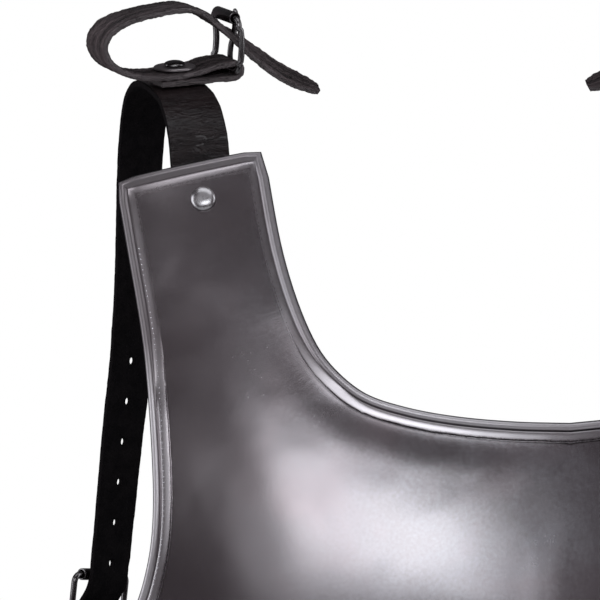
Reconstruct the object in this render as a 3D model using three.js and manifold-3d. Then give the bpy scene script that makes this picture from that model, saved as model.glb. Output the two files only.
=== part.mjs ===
// A steel breastplate with leather shoulder straps, as a three.js scene graph.
//
// One raised steel plate covers the chest. Its neck, arm holes, sides and waist have a rolled edge. A
// leather strap is riveted inside each shoulder tab, passes over the shoulder and runs down the back to a
// roller buckle on a short strap that is riveted inside the plate's side. On top of each shoulder strap
// sits a small leather loop with its own roller buckle, which holds a shoulder guard, or pauldron.
//
// Millimetres, +Z up, the plate's front towards -Y, +X the wearer's left. The origin is the point midway
// between the two shoulder straps, level with the underside of their arches, where the breastplate hangs
// on the shoulders.

import * as THREE from "three";
import { mergeVertices } from "three/addons/utils/BufferGeometryUtils.js";
import Module from "manifold-3d";

const wasm = await Module();
wasm.setup();

// Clearance between pieces that touch on the real object
const GAP = 0.3;

// Plate sizes
const PLATE_HEIGHT = 450; // waist edge to the top of the shoulder tabs
const PLATE_HALF_WIDTH = 188;
const PLATE_DEPTH = 150; // front of the chest to the side edges
const PLATE_THICKNESS = 1.5;
const TAB_TOP_BELOW_SEAT = 23.6; // inner corner of the tab under the origin
const NECK_WIDTH = 208.8;
const NECK_DROP = 103.8;
const SHOULDER_WIDTH = 325.4; // across the outer corners of the tabs
const TAB_SLOPE_DROP = 10; // outer corner of the tab under its inner corner
const ARMHOLE_DROP = 236; // outer corner of the tab to the foot of the arm hole
const SIDE_EDGE_DEG = 92; // angle of the side edge round the body, from the centre front
const FLARE_HEIGHT = 2.6; // how far the plate turns outwards beside its edges, below the arm holes
const FLARE_WIDTH = 22;

// Rolled edge: a flange lies on the plate's face, then a groove, then the roll over its wire
const FLANGE_WIDTH = 3.0;
const FLANGE_THICKNESS = 1.1;
const ROLL_RADIUS = 1.75;
const BORDER = FLANGE_WIDTH + 2 * ROLL_RADIUS + 0.2;

// Number of mesh steps across half the plate, and up its three bands of rows
const COLUMNS = 10;
const SIDE_ROWS = 11;
const ARMPIT_ROWS = 9;
const TAB_ROWS = 13;

// Leather straps, all of one thickness
const LEATHER = 2.5;
const STRAP_WIDTH = 24;
const LOOP_WIDTH = 20;
const STRAP_HOLE_RADIUS = 1.6;
const STRAP_HOLE_PITCH = 17.6;
const STRAP_HOLES = 6;

// Path of the shoulder strap: rivet and holes, arch over the shoulder, run down the back
const RIVET_OUT = 130.5; // shoulder rivet from the centre plane
const RIVET_DROP = 42.4; // and below the origin
const BACK_REACH = 84; // back of the arch behind the origin
const BUCKLE_DROP = 238; // side buckle's lower bar below the origin

// Rivets
const HEAD_RADIUS = 5;
const HEAD_HEIGHT = 2.8;
const SHANK_RADIUS = 2;
const LOOP_HEAD_RADIUS = 4.5;
const LOOP_HEAD_HEIGHT = 2;
const TAIL_RADIUS = 3.4;
const TAIL_HEIGHT = 1.2;
const WASHER_RADIUS = 8.8;
const WASHER_THICKNESS = 1.2;

// Buckles
const WIRE_RADIUS = 1.5;
const TONGUE_RADIUS = 1.2;
const ROLLER_RADIUS = 2.6;
const ROLLER_BORE = WIRE_RADIUS + GAP;
const BUCKLE_LENGTH = 22; // between the bars
const SIDE_BUCKLE_WIDTH = 35; // between the middles of the side wires
const LOOP_BUCKLE_WIDTH = 26.6;

const WORLD_UP = new THREE.Vector3(0, 0, 1);
const vec = (x, y, z) => new THREE.Vector3(x, y, z);

// Reads a table of rows at a key between them, with a smooth curve through every row.
function readTable(rows, key, at) {
  const last = rows.length - 1;
  let i = 0;
  while (i < last - 1 && at >= rows[i + 1][key]) i += 1;
  const span = rows[i + 1][key] - rows[i][key];
  const u = (at - rows[i][key]) / span;
  const read = {};
  for (const column of Object.keys(rows[0])) {
    const slope = (j) => {
      const before = rows[Math.max(j - 1, 0)];
      const after = rows[Math.min(j + 1, last)];
      return (after[column] - before[column]) / (after[key] - before[key]);
    };
    read[column] =
      (2 * u ** 3 - 3 * u ** 2 + 1) * rows[i][column] +
      (u ** 3 - 2 * u ** 2 + u) * span * slope(i) +
      (3 * u ** 2 - 2 * u ** 3) * rows[i + 1][column] +
      (u ** 3 - u ** 2) * span * slope(i + 1);
  }
  return read;
}

// Evenly spaced points on a smooth curve through the given rows of columns.
function spacedCurve(rows, columns, steps) {
  const distance = (a, b) => Math.hypot(...columns.map((c) => b[c] - a[c]));
  let run = 0;
  const keyed = rows.map((row, i) => {
    run += i ? distance(rows[i - 1], row) : 0;
    return { ...row, run };
  });
  const fine = [];
  const FINE_STEPS = 400;
  for (let i = 0; i <= FINE_STEPS; i += 1) fine.push(readTable(keyed, "run", (run * i) / FINE_STEPS));
  const lengths = [0];
  for (let i = 1; i <= FINE_STEPS; i += 1) lengths.push(lengths[i - 1] + distance(fine[i - 1], fine[i]));
  const total = lengths[FINE_STEPS];
  const points = [];
  let k = 0;
  for (let i = 0; i <= steps; i += 1) {
    const want = (total * i) / steps;
    while (k < FINE_STEPS - 1 && lengths[k + 1] < want) k += 1;
    const u = (want - lengths[k]) / (lengths[k + 1] - lengths[k]);
    const point = {};
    for (const c of Object.keys(fine[0])) point[c] = fine[k][c] + u * (fine[k + 1][c] - fine[k][c]);
    points.push(point);
  }
  return points;
}

// Solids

function geometryOf(points, triangles) {
  const geometry = new THREE.BufferGeometry();
  geometry.setAttribute("position", new THREE.Float32BufferAttribute(points.flatMap((p) => p.toArray()), 3));
  geometry.setIndex(triangles.flat());
  return geometry;
}

function solidOf(geometry) {
  const bare = geometry.clone();
  bare.deleteAttribute("normal");
  bare.deleteAttribute("uv");
  const merged = mergeVertices(bare, 1e-4);
  return new wasm.Manifold(
    new wasm.Mesh({
      numProp: 3,
      vertProperties: new Float32Array(merged.attributes.position.array),
      triVerts: new Uint32Array(merged.index.array),
    }),
  );
}

function geometryOfSolid(solid) {
  const mesh = solid.getMesh();
  const geometry = new THREE.BufferGeometry();
  geometry.setAttribute("position", new THREE.BufferAttribute(new Float32Array(mesh.vertProperties), 3));
  geometry.setIndex(new THREE.BufferAttribute(new Uint32Array(mesh.triVerts), 1));
  return geometry;
}

function cut(geometry, tools) {
  return geometryOfSolid(tools.reduce((solid, tool) => solid.subtract(solidOf(tool)), solidOf(geometry)));
}

// A placement at a point with its local Z along a direction.
function placed(geometry, point, direction) {
  const turn = new THREE.Quaternion().setFromUnitVectors(WORLD_UP, direction.clone().normalize());
  return geometry.clone().applyQuaternion(turn).translate(point.x, point.y, point.z);
}

// A straight round bar centred on a point.
function bar(radius, length, sides, point, direction) {
  const upright = new THREE.CylinderGeometry(radius, radius, length, sides).rotateX(Math.PI / 2);
  return placed(upright, point, direction);
}

// A closed tube of round section round a loop of points, or with flat ends along an open run of them.
function wire(points, radius, sides, closed) {
  const count = points.length;
  const tangent = (i) => {
    const before = closed ? points[(i + count - 1) % count] : points[Math.max(i - 1, 0)];
    const after = closed ? points[(i + 1) % count] : points[Math.min(i + 1, count - 1)];
    return after.clone().sub(before).normalize();
  };
  let across = new THREE.Vector3().crossVectors(tangent(0), WORLD_UP);
  if (across.length() < 0.2) across = new THREE.Vector3().crossVectors(tangent(0), vec(0, 1, 0));
  across.normalize();
  const vertices = [];
  for (let i = 0; i < count; i += 1) {
    const t = tangent(i);
    across = across.clone().addScaledVector(t, -across.dot(t)).normalize();
    const other = new THREE.Vector3().crossVectors(t, across);
    for (let k = 0; k < sides; k += 1) {
      const a = (2 * Math.PI * k) / sides;
      vertices.push(
        points[i]
          .clone()
          .addScaledVector(across, radius * Math.cos(a))
          .addScaledVector(other, radius * Math.sin(a)),
      );
    }
  }
  const triangles = [];
  for (let i = 0; i < (closed ? count : count - 1); i += 1) {
    for (let k = 0; k < sides; k += 1) {
      const a = i * sides + k;
      const b = i * sides + ((k + 1) % sides);
      const c = ((i + 1) % count) * sides + k;
      const d = ((i + 1) % count) * sides + ((k + 1) % sides);
      triangles.push([a, b, d], [a, d, c]);
    }
  }
  if (!closed) {
    const end = (count - 1) * sides;
    for (let k = 1; k < sides - 1; k += 1) {
      triangles.push([0, k + 1, k], [end, end + k, end + k + 1]);
    }
  }
  return geometryOf(vertices, triangles);
}

// A flat strap through a run of stations, each with its centre, a direction across it and its half width.
function ribbon(stations) {
  const vertices = [];
  stations.forEach(({ at, across, half }, i) => {
    const before = stations[Math.max(i - 1, 0)].at;
    const after = stations[Math.min(i + 1, stations.length - 1)].at;
    const tangent = after.clone().sub(before).normalize();
    const wide = across.clone().addScaledVector(tangent, -across.dot(tangent)).normalize();
    const thick = tangent.clone().cross(wide);
    for (const [side, face] of [[-1, -1], [1, -1], [1, 1], [-1, 1]]) {
      vertices.push(
        at
          .clone()
          .addScaledVector(wide, side * half)
          .addScaledVector(thick, (face * LEATHER) / 2),
      );
    }
  });
  const triangles = [];
  for (let i = 0; i < stations.length - 1; i += 1) {
    for (let k = 0; k < 4; k += 1) {
      const a = 4 * i + k;
      const b = 4 * i + ((k + 1) % 4);
      triangles.push([a, b, b + 4], [a, b + 4, a + 4]);
    }
  }
  const end = 4 * (stations.length - 1);
  triangles.push([0, 2, 1], [0, 3, 2], [end, end + 1, end + 2], [end, end + 2, end + 3]);
  return geometryOf(vertices, triangles);
}

// A rivet in one piece: domed head, shank and flat tail. Its head rests on a face at a point, and its tail
// lies the given depth behind that face.
function rivet(point, direction, depth, headRadius = HEAD_RADIUS, headHeight = HEAD_HEIGHT) {
  const profile = [
    [0, -depth - TAIL_HEIGHT],
    [TAIL_RADIUS, -depth - TAIL_HEIGHT],
    [TAIL_RADIUS, -depth],
    [SHANK_RADIUS, -depth],
    [SHANK_RADIUS, GAP],
    [headRadius, GAP],
    [headRadius * 0.86, GAP + headHeight * 0.5],
    [headRadius * 0.5, GAP + headHeight * 0.9],
    [0, GAP + headHeight],
  ].map(([x, y]) => new THREE.Vector2(x, y));
  return placed(new THREE.LatheGeometry(profile, 8).rotateX(Math.PI / 2), point, direction);
}

// A round tube or washer, from its bore to its outer radius.
function ring(bore, radius, length, sides, point, direction) {
  const half = length / 2;
  const profile = [[bore, -half], [radius, -half], [radius, half], [bore, half], [bore, -half]];
  const lathe = new THREE.LatheGeometry(profile.map(([x, y]) => new THREE.Vector2(x, y)), sides);
  return placed(lathe.rotateX(Math.PI / 2), point, direction);
}

// A roller buckle. Its place has the lower bar's centre and the directions across the strap, along it to the
// roller, and out of its face.
function buckle(place, halfWidth, tongueLine) {
  const CORNER = 3.5;
  const loop = [];
  for (const [sx, y, from] of [[1, 0, -90], [1, BUCKLE_LENGTH, 0], [-1, BUCKLE_LENGTH, 90], [-1, 0, 180]]) {
    const centre = [sx * (halfWidth - CORNER), y === 0 ? CORNER : BUCKLE_LENGTH - CORNER];
    for (const step of [0, 30, 60, 90]) {
      const a = THREE.MathUtils.degToRad(from + step);
      loop.push(inPlace(place, centre[0] + CORNER * Math.cos(a), centre[1] + CORNER * Math.sin(a), 0));
    }
  }
  const tongue = tongueLine.map(([along, out]) => inPlace(place, 0, along, out));
  return {
    frame: wire(loop, WIRE_RADIUS, 6, true),
    roller: ring(
      ROLLER_BORE,
      ROLLER_RADIUS,
      2 * (halfWidth - CORNER) - 1,
      10,
      inPlace(place, 0, BUCKLE_LENGTH, 0),
      place.across,
    ),
    tongue: wire(tongue, TONGUE_RADIUS, 6, false),
    // The room that the tongue needs where it passes through the leather
    slot: wire(tongue, TONGUE_RADIUS + GAP, 6, false),
  };
}

function inPlace({ at, across, along, out }, x, y, z) {
  return at.clone().addScaledVector(across, x).addScaledVector(along, y).addScaledVector(out, z);
}

function mirrored(geometry) {
  const other = geometry.clone().scale(-1, 1, 1);
  flip(other);
  return other;
}

function flip(geometry) {
  const index = geometry.index.array;
  for (let i = 0; i < index.length; i += 3) [index[i + 1], index[i + 2]] = [index[i + 2], index[i + 1]];
}

// The plate's surface

// Horizontal sections of the chest, as shares of the plate's height, half width and depth. Each is half a
// rounded oval: an ellipse at squareness 2, fuller at the corners above it.
const SECTIONS = [
  { height: 0.0, halfWidth: 0.925, depth: 0.8, setBack: 0.0, squareness: 2.2 },
  { height: 0.045, halfWidth: 0.895, depth: 0.74, setBack: 0.0, squareness: 2.2 },
  { height: 0.1, halfWidth: 0.893, depth: 0.745, setBack: 0.0, squareness: 2.2 },
  { height: 0.21, halfWidth: 0.925, depth: 0.85, setBack: 0.0, squareness: 2.2 },
  { height: 0.35, halfWidth: 0.97, depth: 0.96, setBack: 0.0, squareness: 2.2 },
  { height: 0.5, halfWidth: 0.995, depth: 1.0, setBack: 0.0, squareness: 2.2 },
  { height: 0.62, halfWidth: 1.005, depth: 0.95, setBack: 0.0, squareness: 2.2 },
  { height: 0.74, halfWidth: 1.01, depth: 0.82, setBack: 0.0, squareness: 2.15 },
  { height: 0.87, halfWidth: 1.02, depth: 0.64, setBack: 0.02, squareness: 2.05 },
  { height: 1.0, halfWidth: 1.04, depth: 0.44, setBack: 0.06, squareness: 2.0 },
];

function section(height) {
  const row = readTable(SECTIONS, "height", height);
  return {
    halfWidth: row.halfWidth * PLATE_HALF_WIDTH,
    depth: row.depth * PLATE_DEPTH,
    setBack: row.setBack * PLATE_DEPTH,
    power: 2 / row.squareness,
  };
}

const heightAtDrop = (drop) => 1 - (drop - TAB_TOP_BELOW_SEAT) / PLATE_HEIGHT;

// A point of the plate's outer face, at an angle round the body and a share of the plate's height.
function facePoint(angle, height) {
  const { halfWidth, depth, setBack, power } = section(height);
  const bend = (value) => Math.sign(value) * Math.abs(value) ** power;
  return vec(
    halfWidth * bend(Math.sin(angle)),
    setBack - depth * bend(Math.cos(angle)),
    (height - 1) * PLATE_HEIGHT - TAB_TOP_BELOW_SEAT,
  );
}

// The angle at which a section is a given distance from the centre plane.
function angleAt(out, height) {
  const { halfWidth, power } = section(height);
  return Math.asin((out / halfWidth) ** (1 / power));
}

function faceNormal(angle, height) {
  const STEP = 1e-3;
  const round = facePoint(angle + STEP, height).sub(facePoint(angle - STEP, height));
  const up = facePoint(angle, height + STEP).sub(facePoint(angle, height - STEP));
  return round.cross(up).normalize();
}

// The inner line of the rolled edge, for one half of the plate

// Neck, from the centre front to the tab: across is a share of half its width, drop of its depth.
const NECK = [
  { across: 0.0, drop: 1.0 },
  { across: 0.2, drop: 0.988 },
  { across: 0.42, drop: 0.962 },
  { across: 0.6, drop: 0.924 },
  { across: 0.74, drop: 0.87 },
  { across: 0.84, drop: 0.78 },
  { across: 0.905, drop: 0.672 },
  { across: 0.955, drop: 0.5 },
  { across: 0.985, drop: 0.3 },
  { across: 1.0, drop: 0.0 },
];

// Arm hole, from its foot to the tab: turn is 0 at the tab's outer corner and 1 at the side edge.
const ARMHOLE = [
  { turn: 1.0, drop: 1.0 },
  { turn: 0.975, drop: 0.955 },
  { turn: 0.89, drop: 0.925 },
  { turn: 0.72, drop: 0.9 },
  { turn: 0.49, drop: 0.862 },
  { turn: 0.29, drop: 0.806 },
  { turn: 0.18, drop: 0.748 },
  { turn: 0.09, drop: 0.69 },
  { turn: 0.03, drop: 0.637 },
  { turn: -0.02, drop: 0.564 },
  { turn: -0.043, drop: 0.47 },
  { turn: -0.043, drop: 0.273 },
  { turn: -0.014, drop: 0.107 },
  { turn: 0.0, drop: 0.0 },
];
const ARMHOLE_LEVEL_OF_NECK = 0.68; // drop where the row through the neck's lowest point meets the arm hole

// Side edge, from the waist to the foot of the arm hole, with the waist corner rounded off.
const WAIST_CORNER = 14;
const SIDE_EDGE = [
  { inset: 1.0, rise: 0.0 },
  { inset: 0.3, rise: 0.3 },
  { inset: 0.0, rise: 1.0 },
];

const heightBelowTab = (drop) => 1 - drop / PLATE_HEIGHT;
const tabInnerHeight = heightBelowTab(BORDER);
const tabOuterHeight = heightBelowTab(BORDER + TAB_SLOPE_DROP);
const tabInnerAngle = angleAt(NECK_WIDTH / 2 + BORDER, tabInnerHeight);
const tabOuterAngle = angleAt(SHOULDER_WIDTH / 2 - BORDER, tabOuterHeight);
const sideAngle = THREE.MathUtils.degToRad(SIDE_EDGE_DEG) - BORDER / PLATE_HALF_WIDTH;
const waistHeight = BORDER / PLATE_HEIGHT;
const armpitHeight = heightBelowTab(BORDER + TAB_SLOPE_DROP + ARMHOLE_DROP);

function neckLine(steps) {
  const rows = NECK.map(({ across, drop }) => {
    const height = heightBelowTab(BORDER + NECK_DROP * drop);
    return { angle: angleAt((NECK_WIDTH / 2 + BORDER) * across, height), height };
  });
  return spacedCurve(rows, ["angle", "height"], steps);
}

function armholeLine(fromDrop, toDrop, steps) {
  const rows = ARMHOLE.map(({ turn, drop }) => ({
    angle: tabOuterAngle + (sideAngle - tabOuterAngle) * turn,
    height: heightBelowTab(BORDER + TAB_SLOPE_DROP + ARMHOLE_DROP * drop),
    drop,
  }));
  const whole = spacedCurve(rows, ["angle", "height"], 200);
  const stretch = whole.filter((row) => row.drop <= fromDrop + 1e-6 && row.drop >= toDrop - 1e-6);
  return spacedCurve(stretch, ["angle", "height"], steps);
}

function sideLine(steps) {
  const corner = SIDE_EDGE.map(({ inset, rise }) => ({
    angle: sideAngle - (WAIST_CORNER * inset) / PLATE_HALF_WIDTH,
    height: waistHeight + (WAIST_CORNER * rise) / PLATE_HEIGHT,
  }));
  const CORNER_STEPS = 3;
  const round = spacedCurve(corner, ["angle", "height"], CORNER_STEPS);
  const left = steps - CORNER_STEPS;
  const from = waistHeight + WAIST_CORNER / PLATE_HEIGHT;
  for (let i = 1; i <= left; i += 1) {
    round.push({ angle: sideAngle, height: from + ((armpitHeight - from) * i) / left });
  }
  return round;
}

// The two ends of every row of the plate's mesh, from the waist to the tab's top.
function rowEnds() {
  const lowerRows = SIDE_ROWS + ARMPIT_ROWS;
  const neck = neckLine(TAB_ROWS);
  const inner = [];
  for (let j = 0; j < lowerRows; j += 1) {
    inner.push({ angle: 0, height: waistHeight + ((neck[0].height - waistHeight) * j) / lowerRows });
  }
  inner.push(...neck);
  const outer = [
    ...sideLine(SIDE_ROWS),
    ...armholeLine(1, ARMHOLE_LEVEL_OF_NECK, ARMPIT_ROWS).slice(1),
    ...armholeLine(ARMHOLE_LEVEL_OF_NECK, 0, TAB_ROWS).slice(1),
  ];
  return { inner, outer };
}

// Section of the rolled edge: over is measured outwards along the plate, proud out of its face.
function rollSection() {
  const middle = FLANGE_WIDTH + ROLL_RADIUS + 0.2;
  const centre = ROLL_RADIUS - PLATE_THICKNESS;
  const around = [140, 85, 30, -25, -80].map((degrees) => {
    const a = THREE.MathUtils.degToRad(degrees);
    return { over: middle + ROLL_RADIUS * Math.cos(a), proud: centre + ROLL_RADIUS * Math.sin(a) };
  });
  return [
    { over: 0.1, proud: FLANGE_THICKNESS },
    { over: FLANGE_WIDTH - 0.3, proud: FLANGE_THICKNESS },
    { over: FLANGE_WIDTH + 0.2, proud: FLANGE_THICKNESS * 0.35 },
    ...around,
  ];
}

// The plate's mesh: rows from the waist to the tab's top, columns from the inner to the outer end of a row.
const ends = rowEnds();
const NECK_ROW = SIDE_ROWS + ARMPIT_ROWS;
const TOP_ROW = ends.inner.length - 1;

function gridPoint({ row, side, column }) {
  const share = column / COLUMNS;
  const between = (key) => ends.inner[row][key] + (ends.outer[row][key] - ends.inner[row][key]) * share;
  const point = facePoint(between("angle"), between("height"));
  point.x *= side;
  return point;
}

// The sheet's outline, once round: waist, left side, left tab, neck, right tab, right side.
function outlineOfGrid() {
  const outline = [];
  const push = (row, side, column) => outline.push({ row, side, column });
  for (let column = COLUMNS; column > 0; column -= 1) push(0, -1, column);
  for (let column = 0; column < COLUMNS; column += 1) push(0, 1, column);
  for (let row = 0; row < TOP_ROW; row += 1) push(row, 1, COLUMNS);
  for (let column = COLUMNS; column > 0; column -= 1) push(TOP_ROW, 1, column);
  for (let row = TOP_ROW; row > NECK_ROW; row -= 1) push(row, 1, 0);
  for (let row = NECK_ROW; row < TOP_ROW; row += 1) push(row, -1, 0);
  for (let column = 0; column < COLUMNS; column += 1) push(TOP_ROW, -1, column);
  for (let row = TOP_ROW; row > 0; row -= 1) push(row, -1, COLUMNS);
  return outline;
}
const outline = outlineOfGrid();
const edgePoints = outline.map(gridPoint);

// The turned-out edge gets lower towards the tabs.
const FLARE = [
  { height: 0.0, share: 1.0 },
  { height: 0.35, share: 1.0 },
  { height: 0.55, share: 0.85 },
  { height: 0.75, share: 0.46 },
  { height: 0.9, share: 0.27 },
  { height: 1.0, share: 0.23 },
];

// How far the sheet is turned outwards at a point, by its distance to the edge.
function flareAt(point) {
  const near = vec(0, 0, 0);
  let least = FLARE_WIDTH;
  edgePoints.forEach((a, i) => {
    const line = new THREE.Line3(a, edgePoints[(i + 1) % edgePoints.length]);
    least = Math.min(least, line.closestPointToPoint(point, true, near).distanceTo(point));
  });
  const { share } = readTable(FLARE, "height", heightAtDrop(-point.z));
  return FLARE_HEIGHT * share * (1 - least / FLARE_WIDTH) ** 2;
}

// One closed sheet: an outer and an inner face on the same rows, joined round the outline by the rolled edge.
function plateGeometry() {
  const front = [];
  const index = new Map();
  const vertexAt = (row, side, column) => {
    const key = column === 0 && row <= NECK_ROW ? `${row}` : `${row} ${side} ${column}`;
    if (!index.has(key)) {
      index.set(key, front.length);
      front.push(gridPoint({ row, side, column }));
    }
    return index.get(key);
  };
  const triangles = [];
  for (const side of [1, -1]) {
    for (let row = 0; row < TOP_ROW; row += 1) {
      for (let column = 0; column < COLUMNS; column += 1) {
        const a = vertexAt(row, side, column);
        const b = vertexAt(row, side, column + 1);
        const c = vertexAt(row + 1, side, column + 1);
        const d = vertexAt(row + 1, side, column);
        if (side > 0) triangles.push([a, b, c], [a, c, d]);
        else triangles.push([a, c, b], [a, d, c]);
      }
    }
  }
  const smoothNormals = () => {
    const normals = front.map(() => vec(0, 0, 0));
    for (const [a, b, c] of triangles) {
      const face = front[b].clone().sub(front[a]).cross(front[c].clone().sub(front[a]));
      for (const i of [a, b, c]) normals[i].add(face);
    }
    return normals.map((n) => n.normalize());
  };
  const plain = smoothNormals();
  front.forEach((point, i) => point.addScaledVector(plain[i], flareAt(point)));

  const normals = smoothNormals();
  const vertices = [...front];
  const backStart = vertices.length;
  front.forEach((point, i) => {
    vertices.push(point.clone().addScaledVector(normals[i], -PLATE_THICKNESS));
  });
  triangles.slice().forEach(([a, b, c]) => triangles.push([backStart + a, backStart + c, backStart + b]));

  const profile = rollSection();
  const ring = outline.map(({ row, side, column }) => vertexAt(row, side, column));
  const rings = ring.map((vertex, i) => {
    const here = front[vertex];
    const arriving = here.clone().sub(front[ring[(i + ring.length - 1) % ring.length]]).normalize();
    const leaving = front[ring[(i + 1) % ring.length]].clone().sub(here).normalize();
    const along = arriving.clone().add(leaving).normalize();
    const outwards = along.clone().cross(normals[vertex]).normalize();
    const mitre = 1 / Math.max(0.85, along.dot(leaving));
    const first = vertices.length;
    for (const { over, proud } of profile) {
      vertices.push(
        here
          .clone()
          .addScaledVector(outwards, over * mitre)
          .addScaledVector(normals[vertex], proud),
      );
    }
    return [vertex, ...profile.map((_, k) => first + k), backStart + vertex];
  });
  rings.forEach((one, i) => {
    const next = rings[(i + 1) % rings.length];
    for (let k = 0; k < one.length - 1; k += 1) {
      triangles.push([one[k], one[k + 1], next[k + 1]], [one[k], next[k + 1], next[k]]);
    }
  });
  return geometryOf(vertices, triangles);
}

// Leather and buckles of the wearer's right side, at -X

const degrees = THREE.MathUtils.degToRad;
const widthAt = (turn, roll = 0) =>
  vec(Math.cos(degrees(turn)), Math.sin(degrees(turn)), Math.sin(degrees(roll))).normalize();

const steel = new THREE.MeshStandardMaterial({ color: 0x6b6668, roughness: 0.35, metalness: 1.0 });
const leather = new THREE.MeshStandardMaterial({ color: 0x1d1a1a, roughness: 0.6 });
const darkSteel = new THREE.MeshStandardMaterial({ color: 0x3a393b, roughness: 0.35, metalness: 1.0 });

const sheet = plateGeometry();
const sheetMesh = new THREE.Mesh(sheet, steel);

// The plate's outer face at a place on the right side, found by three rays round it.
function onPlate(angle, height) {
  const guess = facePoint(-angle, height);
  const normal = faceNormal(-angle, height);
  const level = WORLD_UP.clone().cross(normal).normalize();
  const upwards = normal.clone().cross(level);
  const hits = [90, 210, 330].map((turn) => {
    const from = guess
      .clone()
      .addScaledVector(level, 4 * Math.cos(degrees(turn)))
      .addScaledVector(upwards, 4 * Math.sin(degrees(turn)))
      .addScaledVector(normal, 30);
    return new THREE.Raycaster(from, normal.clone().negate()).intersectObject(sheetMesh)[0].point;
  });
  const at = hits[0].clone().add(hits[1]).add(hits[2]).divideScalar(3);
  const out = hits[1].clone().sub(hits[0]).cross(hits[2].clone().sub(hits[0])).normalize();
  return { at, normal: out.multiplyScalar(Math.sign(out.dot(normal))) };
}

// A point behind the plate, at a distance under its outer face
function behindPlate(angle, height, under) {
  const { at, normal } = onPlate(angle, height);
  return { at: at.addScaledVector(normal, -under), normal };
}

// Centre line of the shoulder strap after it leaves the tab: out from the centre plane, back, and down.
const SHOULDER_PATH = [
  { out: 0.983, back: -0.411, drop: 0.1189, turn: -16, roll: 0 },
  { out: 0.972, back: -0.274, drop: 0.0702, turn: -12, roll: 1 },
  { out: 0.966, back: -0.060, drop: 0.0252, turn: -4, roll: 3 },
  { out: 0.965, back: 0.143, drop: 0.0071, turn: 4, roll: 4 },
  { out: 0.966, back: 0.357, drop: -0.0034, turn: 9, roll: 4 },
  { out: 0.967, back: 0.536, drop: -0.0053, turn: 14, roll: 4 },
  { out: 0.970, back: 0.714, drop: 0.0088, turn: 19, roll: 3 },
  { out: 0.973, back: 0.869, drop: 0.0487, turn: 23, roll: 2 },
  { out: 0.976, back: 0.964, drop: 0.1113, turn: 26, roll: 1 },
  { out: 0.979, back: 1.000, drop: 0.1899, turn: 27, roll: 0 },
  { out: 0.988, back: 1.000, drop: 0.3429, turn: 28, roll: 0 },
  { out: 1.010, back: 0.988, drop: 0.5025, turn: 30, roll: 0 },
  { out: 1.046, back: 0.952, drop: 0.6454, turn: 33, roll: 0 },
  { out: 1.096, back: 0.893, drop: 0.8622, turn: 37, roll: 0 },
];
const pathPoint = ({ out, back, drop }) => vec(-out * RIVET_OUT, back * BACK_REACH, -drop * BUCKLE_DROP);

// Side buckle
const sideBuckle = { at: vec(-1.152 * RIVET_OUT, 0.885 * BACK_REACH, -BUCKLE_DROP) };
sideBuckle.along = vec(0.13, 0.09, 0.99).normalize();
sideBuckle.across = widthAt(38);
sideBuckle.across.addScaledVector(sideBuckle.along, -sideBuckle.across.dot(sideBuckle.along)).normalize();
sideBuckle.out = sideBuckle.along.clone().cross(sideBuckle.across);
const SIDE_TONGUE = [
  [0, -3], [-2.1, -2.1], [-3, 0], [-2.1, 2.1], [0, 3.1], [10, 3.7],
  [BUCKLE_LENGTH, 4.3], [BUCKLE_LENGTH + 2, 4],
];
const side = buckle(sideBuckle, SIDE_BUCKLE_WIDTH / 2, SIDE_TONGUE);

// Strap from the side buckle to the plate: it folds round the lower bar, runs round the flank and ends
// inside the plate's side.
const FLANK_PATH = [
  { out: 1.152, back: 0.885, drop: 1.0, turn: 38 },
  { out: 1.19, back: 0.78, drop: 1.1, turn: 42 },
  { out: 1.255, back: 0.54, drop: 1.24, turn: 55 },
  { out: 1.3, back: 0.24, drop: 1.38, turn: 72 },
];
const FLANK_RIVET_DROP = BUCKLE_DROP + 118;
const flankRivetAngle = sideAngle - 17 / PLATE_HALF_WIDTH;
const flankEndAngle = sideAngle - 28 / PLATE_HALF_WIDTH;
const UNDER_SIDE = PLATE_THICKNESS + 3 + LEATHER / 2; // the strap's middle under the plate's outer face
const UNDER_TAB = PLATE_THICKNESS + 1.4 + LEATHER / 2; // the same for the shoulder strap

function flankStations() {
  const rows = FLANK_PATH.map((row) => ({ ...pathPoint(row), turn: row.turn }));
  for (const [angle, drop, further] of [
    [flankRivetAngle, FLANK_RIVET_DROP, 0],
    [flankEndAngle, FLANK_RIVET_DROP + 13, 2.4],
  ]) {
    rows.push({ ...behindPlate(angle, heightAtDrop(drop), UNDER_SIDE + further).at, turn: 90 });
  }
  return spacedCurve(rows, ["x", "y", "z"], 24);
}

const flankLine = flankStations();
const FOLD_RADIUS = WIRE_RADIUS + GAP + LEATHER / 2;
const LAYER = (LEATHER + GAP) / 2; // each layer's middle, from the middle of the folded pair
const FOLD_BULGE = 0.9; // further out beside the fold

function flankStrap() {
  const half = STRAP_WIDTH / 2;
  const step = (i, offset) => {
    const row = flankLine[i];
    const before = flankLine[Math.max(i - 1, 0)];
    const after = flankLine[i + 1] ?? row;
    const tangent = vec(after.x - before.x, after.y - before.y, after.z - before.z).normalize();
    const across = widthAt(row.turn);
    across.addScaledVector(tangent, -across.dot(tangent)).normalize();
    const out = across.clone().cross(tangent);
    return { at: vec(row.x, row.y, row.z).addScaledVector(out, offset), across, half };
  };
  const stations = [];
  for (let i = 4; i >= 2; i -= 1) stations.push(step(i, -LAYER));
  stations.push(step(1, -LAYER - FOLD_BULGE));
  for (const a of [-90, -60, -30, 0, 30, 60, 90]) {
    const along = FOLD_RADIUS * Math.cos(degrees(a));
    const out = FOLD_RADIUS * Math.sin(degrees(a));
    stations.push({ at: inPlace(sideBuckle, 0, along, out), across: sideBuckle.across, half });
  }
  stations.push(step(1, LAYER + FOLD_BULGE));
  for (let i = 2; i <= 6; i += 1) stations.push(step(i, LAYER));
  for (let i = 7; i < flankLine.length; i += 1) {
    stations.push(step(i, LAYER * Math.max(0, 1 - (i - 6) / 6)));
  }
  return { stations, step };
}

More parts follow.
